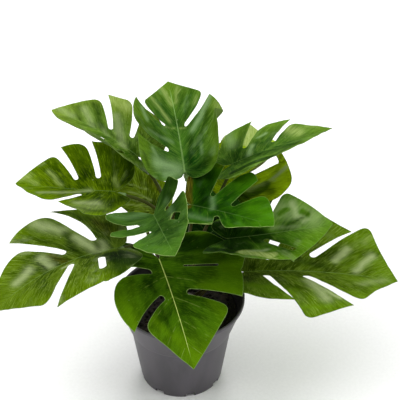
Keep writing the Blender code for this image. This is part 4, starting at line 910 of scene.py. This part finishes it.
def leaf_top(name, look, size, seed):
    m = Look("print_" + name)
    s, t, edge, _ = m.read("vein")
    u, v, crest, _ = m.read("spot")
    sheen_strokes, paled, lit, _ = m.read("paint")
    browned = m.read("brown")[3]
    at = m.place()
    out = m.math("ABSOLUTE", v)
    side = m.math("SIGN", v)
    near = m.math("PINGPONG", m.math("SUBTRACT", s, 0.19), 0.1)
    # PINGPONG folds s so that 0 lies on a side vein and 0.1 midway between two.
    from_vein = m.times(near, size * 0.72)
    patches = m.noise(m.vector(m.times(s, 8.0), m.times(t, 1 / 26), m.plus(m.times(side, 3.0), seed)), 1.0, 3.0, 0.6)
    broad = m.noise(m.vector(m.times(s, size * 0.3), m.times(t, 1 / 12), m.plus(m.times(side, 5.0), seed)), 1.0, 3.0, 0.65)
    streaks = m.noise(m.vector(m.times(s, size * 0.85), m.times(t, 1 / 13), m.plus(m.times(side, 7.0), seed)), 1.0, 3.0, 0.65)
    fine = m.noise(m.vector(m.times(s, size * 1.9), m.times(t, 1 / 8), m.plus(m.times(side, 9.0), seed)), 1.0, 2.0, 0.6)
    fibres = m.noise(at, 1 / 0.9, 2.0, 0.6)

    colour = m.mix(m.ease(patches, 0.36, 0.64), srgb(*look["deep"]), srgb(*look["mid"]))
    far = m.plus(m.ease(out, size * 0.16, size * 0.5), m.ease(u, size * 0.5, size * 1.0))
    far = m.times(m.math("MULTIPLY_ADD", m.noise(at, 1 / 14, 2.0, 0.5), 1.1, 0.15, clamp=True), far, 0.7)
    colour = m.mix(m.math("MINIMUM", far, 0.75), colour, srgb(*look["tip"]))
    # Streaks along the veins: lighter, then darker, then short fine ones.
    colour = m.mix(m.times(m.ease(broad, 0.5, 0.7), 0.28 * look["streak"]), colour, srgb(*look["light"]))
    colour = m.mix(m.times(m.ease(streaks, 0.53, 0.68), 0.45 * look["streak"]), colour, srgb(*look["light"]))
    dark = m.times(m.ease(streaks, 0.48, 0.33), 0.42 * look["streak"])
    colour = m.mix(dark, colour, srgb(*(int(c * 0.62) for c in look["deep"])))
    colour = m.mix(m.times(m.ease(fine, 0.57, 0.68), 0.5 * look["streak"]), colour, srgb(*(min(255, int(c * 1.12 + 8)) for c in look["light"])))
    colour = m.mix(m.times(m.ease(fine, 0.43, 0.33), 0.42 * look["streak"]), colour, srgb(*(int(c * 0.6) for c in look["deep"])))
    # A thin painted grey sheen on the crowns between the veins: a painted highlight.
    painted_sheen = m.times(m.ease(near, 0.03, 0.075), m.ease(m.noise(at, 1 / 19, 3.0, 0.6), 0.48, 0.68), m.ease(out, size * 0.05, size * 0.16), look["sheen_strength"])
    patchy = m.math("MULTIPLY_ADD", streaks, 1.1, 0.42, clamp=True)
    painted_sheen = m.math("MAXIMUM", painted_sheen, sheen_strokes)
    # Painted light and painted shade, then the pale strokes and the painted sheen.
    shade = m.math("MAXIMUM", m.times(lit, -1.0), 0.0)
    colour = m.mix(shade, colour, m.mix(1.0, colour, (0.17, 0.25, 0.16, 1.0), "MULTIPLY"))
    colour = m.mix(m.times(m.math("MAXIMUM", lit, 0.0), patchy), colour, srgb(*look["tip"]))
    colour = m.mix(m.times(browned, 0.9), colour, m.mix(m.ease(streaks, 0.4, 0.62), srgb(48, 42, 6), srgb(92, 88, 16)))
    colour = m.mix(m.times(paled, patchy), colour, m.mix(m.ease(streaks, 0.4, 0.6), srgb(138, 160, 80), srgb(162, 180, 104)))
    colour = m.mix(m.times(painted_sheen, m.math("MULTIPLY_ADD", streaks, 0.9, 0.52, clamp=True)), colour, srgb(*SHEEN_COLOUR.get(name, (160, 174, 122))))
    # Pale lines: the side veins, broken and fading out, the midrib and the cut edge.
    broken = m.ease(m.noise(at, 1 / 7, 2.0, 0.5), 0.42, 0.64)
    line = m.times(m.ease(from_vein, 0.12, 0.5, 1.0, 0.0), m.ease(t, size * 0.42, size * 0.1), broken, look["vein"])
    colour = m.mix(line, colour, srgb(150, 172, 80))
    width = m.ease(u, 0.0, size * 0.9, look["wide"], look["wide"] * 0.45)
    rib = m.ease(m.math("DIVIDE", out, width), 0.5, 1.0, 1.0, 0.0)
    rib = m.times(rib, m.ease(u, size * 0.78, size * 0.93, 1.0, 0.0), m.math("MULTIPLY_ADD", m.noise(at, 1 / 4, 2.0, 0.5), 0.9, 0.45), look["rib"])
    colour = m.mix(m.math("MINIMUM", rib, 1.0), colour, srgb(*(RIB_LINE if name == "front" else (132, 164, 96))))
    colour = m.mix(m.times(m.ease(edge, 0.1, 0.55, 1.0, 0.0), look["rim"]), colour, srgb(128, 160, 78))
    colour = m.mix(m.times(m.flecks(at, 1 / 9, 0.07), 0.4), colour, srgb(190, 200, 150))
    # The weave shows as a slight grain.
    grain = m.math("MULTIPLY_ADD", fibres, 0.6, 0.7)
    colour = m.mix(1.0, colour, m.vector(grain, grain, grain), "MULTIPLY")
    rough = m.plus(m.ease(streaks, 0.3, 0.75, 0.34, 0.42), m.times(fibres, 0.08))
    rough = m.math("SUBTRACT", rough, m.times(painted_sheen, 0.1))
    m.bump(m.plus(m.times(streaks, 0.6), m.plus(m.times(fine, 0.3), m.times(fibres, 0.3))), 0.5, 0.22)
    return m.finish(colour, rough, 0.08, index=1.04 if name in STEEP else 1.09)


def leaf_under(name, pale, shade):
    """The unprinted side: paler and matt, with the print showing through a little."""
    m = Look(name)
    s, t, edge, _ = m.read("vein")
    at = m.place()
    near = m.math("PINGPONG", m.math("SUBTRACT", s, 0.19), 0.1)
    streaks = m.noise(m.vector(m.times(s, 52.0), m.times(t, 1 / 15), 1.5), 1.0, 3.0, 0.6)
    fibres = m.noise(at, 1 / 0.8, 2.0, 0.6)
    colour = m.mix(m.ease(m.noise(at, 1 / 24, 2.0, 0.5), 0.35, 0.65), srgb(*shade), srgb(*pale))
    colour = m.mix(m.times(m.ease(streaks, 0.4, 0.7), 0.35), colour, srgb(*(min(255, int(c * 1.15)) for c in pale)))
    colour = m.mix(m.ease(near, 0.0, 0.012, 0.3, 0.0), colour, srgb(160, 180, 110))
    grain = m.math("MULTIPLY_ADD", fibres, 0.4, 0.8)
    colour = m.mix(1.0, colour, m.vector(grain, grain, grain), "MULTIPLY")
    m.bump(m.plus(m.times(streaks, 0.4), fibres), 0.5, 0.2)
    return m.finish(colour, m.ease(fibres, 0.3, 0.7, 0.6, 0.78), 0.2, index=1.25)


def leaf_rim(name, dark, pale):
    m = Look(name)
    at = m.place()
    fibres = m.noise(at, 1 / 0.6, 2.0, 0.6)
    colour = m.mix(m.ease(m.noise(at, 1 / 5, 2.0, 0.5), 0.35, 0.65), srgb(*dark), srgb(*pale))
    m.bump(fibres, 0.5, 0.15)
    return m.finish(colour, m.ease(fibres, 0.3, 0.7, 0.65, 0.85), 0.3)


def rib_plastic():
    m = Look("rib_plastic")
    at = m.place()
    soft = m.noise(at, 1 / 9, 2.0, 0.5)
    fine = m.noise(at, 1 / 1.1, 2.0, 0.5)
    colour = m.mix(m.ease(soft, 0.35, 0.65), srgb(92, 128, 62), srgb(138, 166, 100))
    colour = m.mix(m.times(m.ease(fine, 0.5, 0.75), 0.25), colour, srgb(168, 186, 128))
    m.bump(fine, 0.35, 0.12)
    return m.finish(colour, m.ease(fine, 0.3, 0.7, 0.42, 0.55), 0.45)


def stem_plastic():
    m = Look("stem_plastic")
    far, turn, _, _ = m.read("spot")
    at = m.place()
    long = m.noise(m.vector(m.times(turn, 9.0), m.times(far, 1 / 22), 0.7), 1.0, 3.0, 0.6)
    mottle = m.noise(at, 1 / 4.5, 3.0, 0.6)
    fine = m.noise(at, 1 / 0.9, 2.0, 0.5)
    colour = m.mix(m.ease(mottle, 0.35, 0.65), srgb(48, 44, 12), srgb(76, 70, 22))
    colour = m.mix(m.times(m.ease(long, 0.5, 0.72), 0.5), colour, srgb(98, 94, 42))
    colour = m.mix(m.times(m.ease(m.noise(at, 1 / 30, 2.0, 0.5), 0.45, 0.7), 0.5), colour, srgb(66, 80, 24))
    colour = m.mix(m.ease(far, 70.0, 150.0, 0.0, 0.65), colour, srgb(70, 84, 20))
    # Darker near the hub: painted shade, where the stems sit deep under the leaves inside the pot.
    colour = m.mix(m.ease(far, 0.0, 34.0, 0.55, 0.0), colour, srgb(44, 36, 22))
    m.bump(m.plus(m.times(long, 0.8), m.times(fine, 0.4)), 0.6, 0.25)
    return m.finish(colour, m.ease(fine, 0.3, 0.7, 0.45, 0.6), 0.25)


def pot_plastic():
    m = Look("pot_plastic")
    at = m.place()
    spread = m.put("Mapping")
    m.join(at, spread.inputs["Vector"])
    spread.inputs["Scale"].default_value = (1.0, 1.0, 0.35)
    clouds = m.noise(spread.outputs[0], 1 / 22, 3.0, 0.55)
    grain = m.noise(at, 1 / 0.7, 2.0, 0.5)
    scuffs = m.noise(spread.outputs[0], 1 / 2.4, 4.0, 0.7)
    colour = m.mix(m.ease(clouds, 0.35, 0.65), srgb(74, 71, 76), srgb(88, 84, 90))
    colour = m.mix(m.times(m.ease(scuffs, 0.6, 0.78), 0.3), colour, srgb(104, 101, 106))
    # Inside, the wall is painted darker as painted shade: there the surface faces the pot's axis.
    facing = m.put("VectorMath", operation="DOT_PRODUCT")
    m.join(at, facing.inputs[0])
    m.join(m.put("NewGeometry").outputs["Normal"], facing.inputs[1])
    colour = m.mix(m.ease(facing.outputs["Value"], -8.0, -30.0, 0.0, 0.85), colour, srgb(20, 17, 16))
    m.bump(m.plus(m.times(grain, 0.5), m.times(clouds, 0.6)), 0.3, 0.12)
    return m.finish(colour, m.ease(clouds, 0.3, 0.7, 0.42, 0.52), 0.5)


def fill_crumbs():
    m = Look("fill_crumbs")
    at = m.place()
    crumbs = m.noise(at, 1 / 2.2, 4.0, 0.7)
    patches = m.noise(at, 1 / 11, 2.0, 0.5)
    colour = m.mix(m.ease(crumbs, 0.35, 0.65), srgb(12, 10, 9), srgb(40, 34, 27))
    colour = m.mix(m.times(m.ease(patches, 0.5, 0.7), 0.5), colour, srgb(56, 45, 32))
    m.bump(crumbs, 0.9, 0.8)
    return m.finish(colour, m.ease(crumbs, 0.3, 0.7, 0.8, 0.98), 0.25)


def hub_plastic():
    m = Look("hub_plastic")
    at = m.place()
    soft = m.noise(at, 1 / 6, 3.0, 0.6)
    fine = m.noise(at, 1 / 0.8, 2.0, 0.5)
    colour = m.mix(m.ease(soft, 0.35, 0.65), srgb(38, 33, 22), srgb(66, 58, 40))
    m.bump(m.plus(soft, m.times(fine, 0.4)), 0.5, 0.2)
    return m.finish(colour, m.ease(fine, 0.3, 0.7, 0.5, 0.68), 0.4)


# The leaf blades

FAN = ((0.0, 0.09, 0.29, 0.6, 1.0), (78.0, 69.0, 53.0, 42.0, 34.0))  # where a side vein leaves the midrib, and its angle


def vein_of(u, out):
    """Which side vein passes each spot, as the place where it leaves the midrib, and how far along it the spot is.

    Behind the midrib's foot the veins fan out from the foot itself, and the first number turns below 0."""
    start = np.linspace(0, 1.3, 131)
    slope = 1 / np.tan(np.radians(np.interp(start, *FAN)))
    reach = start + slope * out[:, None] + 0.12 * out[:, None] ** 2
    k = np.clip((reach <= u[:, None]).sum(1) - 1, 0, len(start) - 2)
    row = np.arange(len(u))
    low, high = reach[row, k], reach[row, k + 1]
    found = start[k] + (start[1] - start[0]) * np.clip((u - low) / (high - low), 0, 1)
    back = u < reach[:, 0]
    angle = np.degrees(np.arctan2(out, u - 0.12 * out**2))
    found = np.where(back, -(angle - FAN[1][0]) / 102 * 0.75, found)
    return found, np.hypot(u - np.maximum(found, 0), out)


def edge_distance(spots, loops):
    """How far each spot lies from the nearest point of the loops."""
    found = np.full(len(spots), 1e9)
    for loop in loops:
        a, b = loop, np.roll(loop, -1, 0)
        way = b - a
        long = np.maximum((way**2).sum(1), 1e-12)
        for first in range(0, len(spots), 1500):
            p = spots[first : first + 1500, None] - a
            t = np.clip((p * way).sum(2) / long, 0, 1)
            gap = np.linalg.norm(p - t[:, :, None] * way, axis=2).min(1)
            found[first : first + 1500] = np.minimum(found[first : first + 1500], gap)
    return found


def fine_blade(name, leaf, look, seed, slots):
    size = leaf["length"]
    edge, holes = leaf_outline(leaf, 14, 9)
    loops = [edge] + holes
    gap = 1.9 / size
    rows = np.arange(-0.3, 1.02, gap)
    grid = np.array(
        [(u + (i % 2) * gap / 2, v) for i, v in enumerate(np.arange(-0.72, 0.72, gap * 0.87)) for u in rows]
    )
    grid = grid[np.abs(grid[:, 1]) > 3.2 / size]
    ridge = np.array([(u, v / size) for v in (-2.4, -1.5, -0.8, 0, 0.8, 1.5, 2.4) for u in np.arange(0.012, 0.99, gap)])
    grid = np.concatenate([ridge, grid])
    grid = grid[inside(grid, loops)]
    grid = grid[edge_distance(grid, loops) > gap * 0.45]
    spots, lines, first = [], [], 0
    for loop in loops:
        lines += [(first + i, first + (i + 1) % len(loop)) for i in range(len(loop))]
        spots.append(loop)
        first += len(loop)
    flat, _, faces, _, _, _ = delaunay_2d_cdt([tuple(spot) for spot in np.concatenate(spots + [grid])], lines, [], 0, 1e-7)
    flat = np.array([tuple(spot) for spot in flat])
    faces = np.array([tuple(face) for face in faces])
    faces = faces[inside(flat[faces].mean(1), loops)]
    used, faces = np.unique(faces, return_inverse=True)
    flat, faces = flat[used], faces.reshape(-1, 3)[:, ::-1]
    u, v = flat[:, 0], flat[:, 1]
    out = np.abs(v)

    d = 0.004
    here = leaf_points(leaf, flat)
    ahead = leaf_points(leaf, flat + [d, 0]) - leaf_points(leaf, flat - [d, 0])
    right = leaf_points(leaf, flat + [0, d]) - leaf_points(leaf, flat - [0, d])
    up = np.cross(right, ahead)
    up /= np.linalg.norm(up, axis=1)[:, None]

    vein, far = vein_of(u, out)
    side = np.where(v < 0, -1.0, 1.0)
    rim = edge_distance(flat, loops)
    phase = (vein - 0.19) / 0.2
    major = np.abs(phase - np.round(phase)) * 2
    minor = np.abs(2 * phase - np.round(2 * phase)) * 2
    started = step(far / 0.13) * step(out * size / 5.0)
    pillow = (major**0.75 - 0.5) * look["relief"] + (minor**0.85 - 0.5) * look["relief"] * 0.28
    lift = pillow * started * (0.35 + 0.65 * step(rim * size / 7.0))
    wander = noise_at(np.stack([u * size, v * size, 0 * u], -1), 24.0, seed)
    lift += wander * 0.8 * step(out * size / 12.0)
    ruffle = noise_at(np.stack([u * size, v * size, 0 * u], -1), 9.0, seed + 40)
    lift += ruffle * 0.55 * np.exp(-rim * size / 5.0) * step(out * size / 10.0)
    # The midrib stands proud on top and runs out before the tip.
    width = np.interp(u, [0, 0.9], [look["wide"] * 1.15, look["wide"] * 0.5])
    ridge = np.exp(-((out * size / width) ** 2)) * np.interp(u, [-0.05, 0.0, 0.3, 0.85, 0.97], [0, 0.75, 0.6, 0.2, 0])
    ridge *= 0.6 + 0.5 * look["wide"]
    groove = np.exp(-(((out * size - 2.6 * width) / width) ** 2)) * 0.18 * step(u / 0.05) * step((0.97 - u) / 0.2)
    half = np.interp(rim * size, [0, 1.5], [0.2, 0.32])
    top = here + up * (lift + half + ridge - groove)[:, None]
    under = here + up * (lift - half)[:, None]

    paint, brown = strokes(name.removesuffix("_leaf"), leaf, flat, seed)
    values = {
        "vein": np.stack([vein, far * size, rim * size], -1),
        "spot": np.stack([u * size, v * size, major], -1),
        "paint": paint,
        "brown": brown,
    }
    count = len(flat)
    ends = np.concatenate([faces[:, [0, 1]], faces[:, [1, 2]], faces[:, [2, 0]]])
    key = ends[:, 0] * count + ends[:, 1]
    border = ends[~np.isin(key, ends[:, 1] * count + ends[:, 0])]
    rims = np.stack([border[:, 1], border[:, 0], border[:, 0] + count, border[:, 1] + count], -1)
    all_faces = faces.tolist() + (faces[:, ::-1] + count).tolist() + rims.tolist()
    kinds = [0] * len(faces) + [1] * len(faces) + [2] * len(rims)
    values = {k: np.concatenate([rows, rows]) for k, rows in values.items()}
    sharp = np.concatenate([border, border + count])
    return piece(name, np.concatenate([top, under]), all_faces, slots, kinds, values, sharp)


# Ribs, stems, the hub, the fill and the pot


def fine_rib(name, leaf, slots):
    """The socket with its open mouth, the neck, and the spine that tapers out under the midrib."""
    mouth, away, under = stem_frame(leaf)
    spots = np.linspace(0.08, 0.84, 14)
    radii = np.interp(spots, [0, 0.3, 1.0], [1.3, 1.0, 0.35])
    spine = rib_line(leaf, spots, radii + BLADE / 2 + RIB_GAP * 0.4)
    neck = mouth - away * 8.5
    t = np.array([0.2, 0.4, 0.6, 0.8])[:, None]
    knee = under + (under - spine[0]) * 0.1
    bow = (1 - t) ** 2 * neck + 2 * t * (1 - t) * knee + t * t * spine[0]
    sleeve = [
        (-3.2, STEM_RADIUS + 0.12), (-0.5, STEM_RADIUS + 0.16), (0.0, STEM_RADIUS + 0.35), (0.0, SOCKET_RADIUS - 0.35),
        (-0.35, SOCKET_RADIUS), (-1.2, SOCKET_RADIUS), (-1.5, SOCKET_RADIUS - 0.18), (-4.8, SOCKET_RADIUS - 0.22),
        (-5.1, SOCKET_RADIUS - 0.02), (-6.0, SOCKET_RADIUS - 0.04), (-7.0, 1.9), (-8.5, 1.45),
    ]
    tail, far = smooth_line(np.concatenate([[neck], bow, spine]), 1.6)
    sizes = np.interp(far, [0, 12, far[-1]], [1.42, 1.3, 0.42])
    tail, sizes = tail[1:], sizes[1:]
    around = 16
    # The sleeve's rings lie in planes across its axis, so its mouth can turn back in on itself.
    one = np.cross(away, [0, 0, 1.0] if abs(away[2]) < 0.9 else [1.0, 0, 0])
    one /= np.linalg.norm(one)
    two = np.cross(away, one)
    centres = [mouth + away * z for z, _ in sleeve] + list(tail)
    widths = [r for _, r in sleeve] + list(sizes)
    line = np.array([neck] + list(tail))
    first, second, _ = frames(line)
    sides = []
    side = one
    ways = np.gradient(line, axis=0)
    ways /= np.linalg.norm(ways, axis=1)[:, None]
    for way in ways[1:]:
        side = side - way * (side @ way)
        side /= np.linalg.norm(side)
        sides.append((side, np.cross(-way, side)))
    axes = [(one, two)] * len(sleeve) + sides
    turn = np.linspace(0, 2 * math.pi, around, endpoint=False)
    points = [
        centre + (a * math.cos(k) + b * math.sin(k)) * width
        for centre, width, (a, b) in zip(centres, widths, axes)
        for k in turn
    ]
    faces = []
    rings = len(centres)
    for i in range(rings - 1):
        for k in range(around):
            p, q = i * around + k, i * around + (k + 1) % around
            faces.append((p, p + around, q + around, q))
    points += [centres[0], centres[-1] + (centres[-1] - centres[-2]) / 1.6 * 0.3]
    for k in range(around):
        faces.append((len(points) - 2, k, (k + 1) % around))
        faces.append((len(points) - 1, (rings - 1) * around + (k + 1) % around, (rings - 1) * around + k))
    return piece(name, np.array(points), faces, slots)


def fine_stem(name, leaf, seed, slots):
    line, far = smooth_line(stem_line(leaf, 24), 2.2)
    around = 16
    turn = np.linspace(0, 2 * math.pi, around, endpoint=False)
    flutes = 0.055 * np.cos(turn[None] * 5 + 0.8 * np.sin(far[:, None] / 31 + seed))
    swell = np.array([noise.noise(Vector((x / 17, seed * 2.7, 0))) for x in far]) * 0.1
    # The ends stay slim, where they sit in the hub and the socket.
    free = step((far - 4.0) / 5.0) * step((far[-1] - far - 4.5) / 4.0)
    radii = STEM_RADIUS - 0.04 + (swell[:, None] + flutes) * free[:, None]
    points, faces = rod(line, radii, around)
    spot = np.zeros((len(points), 3))
    spot[: len(line) * around, 0] = np.repeat(far, around)
    spot[: len(line) * around, 1] = np.tile(np.cos(turn) + 0.4 * np.sin(2 * turn), len(line))
    spot[-1, 0] = far[-1]
    return piece(name, points, faces, slots, None, {"spot": spot})


def turned_mesh(name, profile, steps, slots, shape=None):
    """The profile (radius, height) in mm turned about Z, running up the inside and down the outside. shape moves a point."""
    points, faces, rings = [], [], []
    for r, z in profile:
        if r < 1e-6:
            rings.append([len(points)] * steps)
            points.append((0.0, 0.0, z))
        else:
            rings.append(list(range(len(points), len(points) + steps)))
            for k in range(steps):
                a = 2 * math.pi * k / steps
                points.append((r * math.cos(a), r * math.sin(a), z))
    for low, high in zip(rings, rings[1:]):
        for k in range(steps):
            a, b, c, d = low[k], low[(k + 1) % steps], high[(k + 1) % steps], high[k]
            face = [a, d, c, b]
            face = [p for i, p in enumerate(face) if p not in face[:i]]
            faces.append(face)
    points = np.array(points)
    if shape is not None:
        points = shape(points)
    return piece(name, points, faces, slots)


def eased(profile, radii, n=5):
    """The profile with the named corners rounded. radii gives a corner's place in the profile and how far it is cut back."""
    points = np.array(profile, float)
    for i in sorted(radii, reverse=True):
        points = softened(points, i, radii[i], n)
    return points[np.concatenate([[True], np.linalg.norm(np.diff(points, axis=0), axis=1) > 0.02])]


def cutter(name, cage):
    mesh = bpy.data.meshes.new(name)
    cage.to_mesh(mesh)
    cage.free()
    made = bpy.data.objects.new(name, mesh)
    bpy.context.scene.collection.objects.link(made)
    return made


def carve(target, tool):
    """Cuts the tool out of the target and removes the tool."""
    hole = target.modifiers.new("cut", "BOOLEAN")
    hole.operation = "DIFFERENCE"
    hole.solver = "EXACT"
    hole.object = tool
    graph = bpy.context.evaluated_depsgraph_get()
    mesh = bpy.data.meshes.new_from_object(target.evaluated_get(graph))
    target.modifiers.clear()
    old, target.data = target.data, mesh
    bpy.data.meshes.remove(old)
    bpy.data.objects.remove(tool)


def fine_pot(slots):
    profile = pot_profile()
    # Corners in order: floor, wall and shoulder inside, the rim, the shoulder outside, the foot.
    made = turned_mesh("pot_shell", eased(profile, {1: 1.6, 3: 0.8, 4: 0.8, 5: 1.2, 6: 1.6, 7: 0.45, 8: 0.35, 9: 0.5, 10: 0.9, 11: 0.5, 12: 1.2, 13: 1.2, 15: 1.0, 16: 0.6}), 160, slots)
    cage = bmesh.new()
    for i in range(FOOT_NOTCHES):
        a = math.radians(FOOT_NOTCH_PHASE + 360 / FOOT_NOTCHES * i)
        turn = Matrix.Translation(Vector((POT_BASE_RADIUS * math.cos(a), POT_BASE_RADIUS * math.sin(a), FOOT_NOTCH_HEIGHT / 2 - 1)) * MM) @ Matrix.Rotation(a, 4, "Z")
        size = Matrix.Diagonal((12 * MM, FOOT_NOTCH_WIDTH * MM, (FOOT_NOTCH_HEIGHT + 2) * MM, 1))
        bmesh.ops.create_cube(cage, size=1.0, matrix=turn @ size)
    for i in range(DRAINS):
        a = 2 * math.pi * (i + 0.5) / DRAINS
        spot = Vector((DRAIN_RING * math.cos(a), DRAIN_RING * math.sin(a), POT_FLOOR_Z)) * MM
        bmesh.ops.create_cone(
            cage, cap_ends=True, segments=32, radius1=DRAIN_RADIUS * MM, radius2=DRAIN_RADIUS * MM, depth=8 * MM,
            matrix=Matrix.Translation(spot),
        )
    carve(made, cutter("pot_cuts", cage))
    made.data.shade_smooth()
    made.data.set_sharp_from_angle(angle=math.radians(34))
    return made


def fine_hub(slots):
    profile = [(0, HUB_BOTTOM_Z), (HUB_RADIUS, HUB_BOTTOM_Z), (HUB_RADIUS, HUB_TOP_Z - 1.4), (HUB_RADIUS - 1.4, HUB_TOP_Z), (8.9, HUB_TOP_Z), (0, HUB_TOP_Z)]
    made = turned_mesh("stem_base", eased(profile, {1: 0.8, 2: 1.0, 3: 1.0})[::-1], 96, slots)
    cage = bmesh.new()
    for leaf in LEAVES.values():
        foot, up = hub_place(leaf)
        turn = Vector((0, 0, 1)).rotation_difference(Vector(up)).to_matrix().to_4x4()
        middle = Vector(foot + up * (4 - PLUG_DEPTH - FIT) / 2) * MM
        bmesh.ops.create_cone(
            cage, cap_ends=True, segments=24, radius1=(STEM_RADIUS + FIT) * MM, radius2=(STEM_RADIUS + FIT) * MM,
            depth=(PLUG_DEPTH + FIT + 4) * MM, matrix=Matrix.Translation(middle) @ turn,
        )
    carve(made, cutter("hub_cuts", cage))
    made.data.shade_smooth()
    made.data.set_sharp_from_angle(angle=math.radians(34))
    return made


def fine_fill(slots):
    """Crumbly fill: a rough top with lumps pressed into it, over a plain body."""
    bottom = POT_FLOOR_Z + POT_FLOOR + FIT
    pocket, floor = HUB_RADIUS + FIT, HUB_BOTTOM_Z - FIT
    outer = pot_outer(FILL_Z) - POT_WALL - FIT
    top = [(r, FILL_Z + (2 - (r - pocket) / 12 if r < pocket + 12 else 1 - (r - pocket - 12) / (outer - pocket - 12))) for r in np.linspace(pocket, outer, 34)]
    side = [(pot_outer(z) - POT_WALL - FIT, z) for z in (POT_COLLAR_Z + 1.6, POT_COLLAR_Z - 0.3, 30.0, bottom)]
    profile = [(0, floor), (pocket, floor)] + top + side + [(0, bottom)]

    def crumble(points):
        r = np.hypot(points[:, 0], points[:, 1])
        on_top = (points[:, 2] > FILL_Z - 0.5) & (r > pocket + 0.5) & (r < outer - 0.3)
        rough = noise_at(points, 5.5, 3) * 1.3 + noise_at(points, 2.1, 5) * 0.7
        points[:, 2] += np.where(on_top, rough - 0.3, 0)
        return points

    body = turned_mesh("fill_crumbs", profile, 150, slots, crumble)
    cage = bmesh.new()
    cage.from_mesh(body.data)
    spread = np.random.default_rng(11)
    for k in range(230):
        r = math.sqrt(spread.uniform((pocket + 2.5) ** 2, (outer - 3) ** 2))
        a = spread.uniform(0, 2 * math.pi)
        size = spread.uniform(0.9, 2.4)
        spot = Vector((r * math.cos(a), r * math.sin(a), FILL_Z + 1.5 - (r - pocket) / 30 + size * 0.1)) * MM
        tilt = Matrix.Rotation(spread.uniform(0, 6.28), 4, "Z") @ Matrix.Rotation(spread.uniform(-0.7, 0.7), 4, "X")
        lump = Matrix.Diagonal((size * MM, size * spread.uniform(0.5, 0.95) * MM, size * spread.uniform(0.35, 0.6) * MM, 1))
        made = bmesh.ops.create_icosphere(cage, subdivisions=2, radius=1.0)["verts"]
        for v in made:
            dent = 1 + 0.35 * noise.noise(v.co * 1.6 + Vector((k * 1.7, 0, 0)))
            v.co = Matrix.Translation(spot) @ tilt @ lump @ (v.co * dent)
    for face in cage.faces:
        face.smooth = True
    cage.to_mesh(body.data)
    cage.free()
    return body


# The scene


def lamp(name, spot, aim, size, power):
    data = bpy.data.lights.new(name, "AREA")
    data.shape = "RECTANGLE"
    data.size, data.size_y = size
    data.energy = power
    made = bpy.data.objects.new(name, data)
    made.location = spot
    made.rotation_euler = (Vector(aim) - Vector(spot)).to_track_quat("-Z", "Y").to_euler()
    bpy.context.scene.collection.objects.link(made)
    return made


def studio():
    scene = bpy.context.scene
    scene.view_settings.view_transform = "Standard"
    scene.view_settings.look = "None"
    world = bpy.data.worlds.new("studio")
    world.use_nodes = True
    # A bright ceiling over dimmer walls.
    tree = world.node_tree
    where = tree.nodes.new("ShaderNodeTexCoord")
    parts = tree.nodes.new("ShaderNodeSeparateXYZ")
    rise = tree.nodes.new("ShaderNodeMapRange")
    rise.interpolation_type = "SMOOTHSTEP"
    for socket, number in zip(rise.inputs[1:5], (0.62, 0.92, 0.34, 1.85)):
        socket.default_value = number
    tree.links.new(where.outputs["Generated"], parts.inputs[0])
    tree.links.new(parts.outputs[2], rise.inputs[0])
    tree.links.new(rise.outputs[0], tree.nodes["Background"].inputs["Strength"])
    tree.nodes["Background"].inputs["Color"].default_value = (1.0, 1.0, 1.0, 1.0)
    scene.world = world
    aim = (0, 0, 0.16)
    lamp("key", (-0.75, -0.45, 1.35), aim, (0.6, 0.6), 8.0)
    lamp("back", (0.1, 1.2, 1.05), aim, (0.7, 0.4), 8.0)
    lamp("side", (1.2, -0.35, 0.8), aim, (0.5, 0.5), 3.0)

    eye = bpy.data.cameras.new("view")
    eye.sensor_width = 36.0
    eye.lens = 146.3
    eye.clip_start, eye.clip_end = 0.05, 20.0
    camera = bpy.data.objects.new("view", eye)
    tilt, away = math.radians(38.0), 1.5
    camera.location = (0.01845, -away * math.cos(tilt), 0.2153 + away * math.sin(tilt))
    camera.rotation_euler = (math.radians(52.0), 0.0, 0.0)
    scene.collection.objects.link(camera)
    scene.camera = camera

    floor = piece("floor", [(-4000, -4000, 0), (4000, -4000, 0), (4000, 4000, 0), (-4000, 4000, 0)], [(0, 1, 2, 3)], [floor_paint()])


def floor_paint():
    m = Look("floor_paint")
    grain = m.noise(m.place(), 1 / 3.0, 2.0, 0.5)
    colour = m.mix(m.ease(grain, 0.3, 0.7), (0.9, 0.9, 0.9, 1.0), (0.93, 0.93, 0.93, 1.0))
    return m.finish(colour, 0.9, 0.1)


def main():
    raw = leaf_rim("cut_edge", (104, 136, 58), (148, 172, 96))
    # A darker cut edge, for the leaves not listed in PALE_EDGE.
    darker_rim = leaf_rim("darker_edge", (58, 84, 24), (98, 124, 50))
    ribs, stalks = rib_plastic(), stem_plastic()
    pale = leaf_under("underside", (122, 148, 72), (92, 124, 48))
    olive = leaf_under("underside_olive", (138, 150, 84), (110, 124, 56))
    for seed, (name, leaf) in enumerate(LEAVES.items()):
        look = PRINT[name]
        top = leaf_top(name, look, leaf["length"], seed * 2.3)
        slots = [top, olive if name in OLIVE else pale, raw if name in PALE_EDGE else darker_rim]
        place(fine_blade(name + "_leaf", leaf, look, seed, slots), name + "_blade")
        place(fine_rib(name + "_spine", leaf, [ribs]), name + "_rib")
        place(fine_stem(name + "_stalk", leaf, seed, [stalks]), name + "_stem")
    place(fine_pot([pot_plastic()]), "pot")
    place(fine_fill([fill_crumbs()]), "potting_fill")
    place(fine_hub([hub_plastic()]), "stem_hub")
    studio()


main()
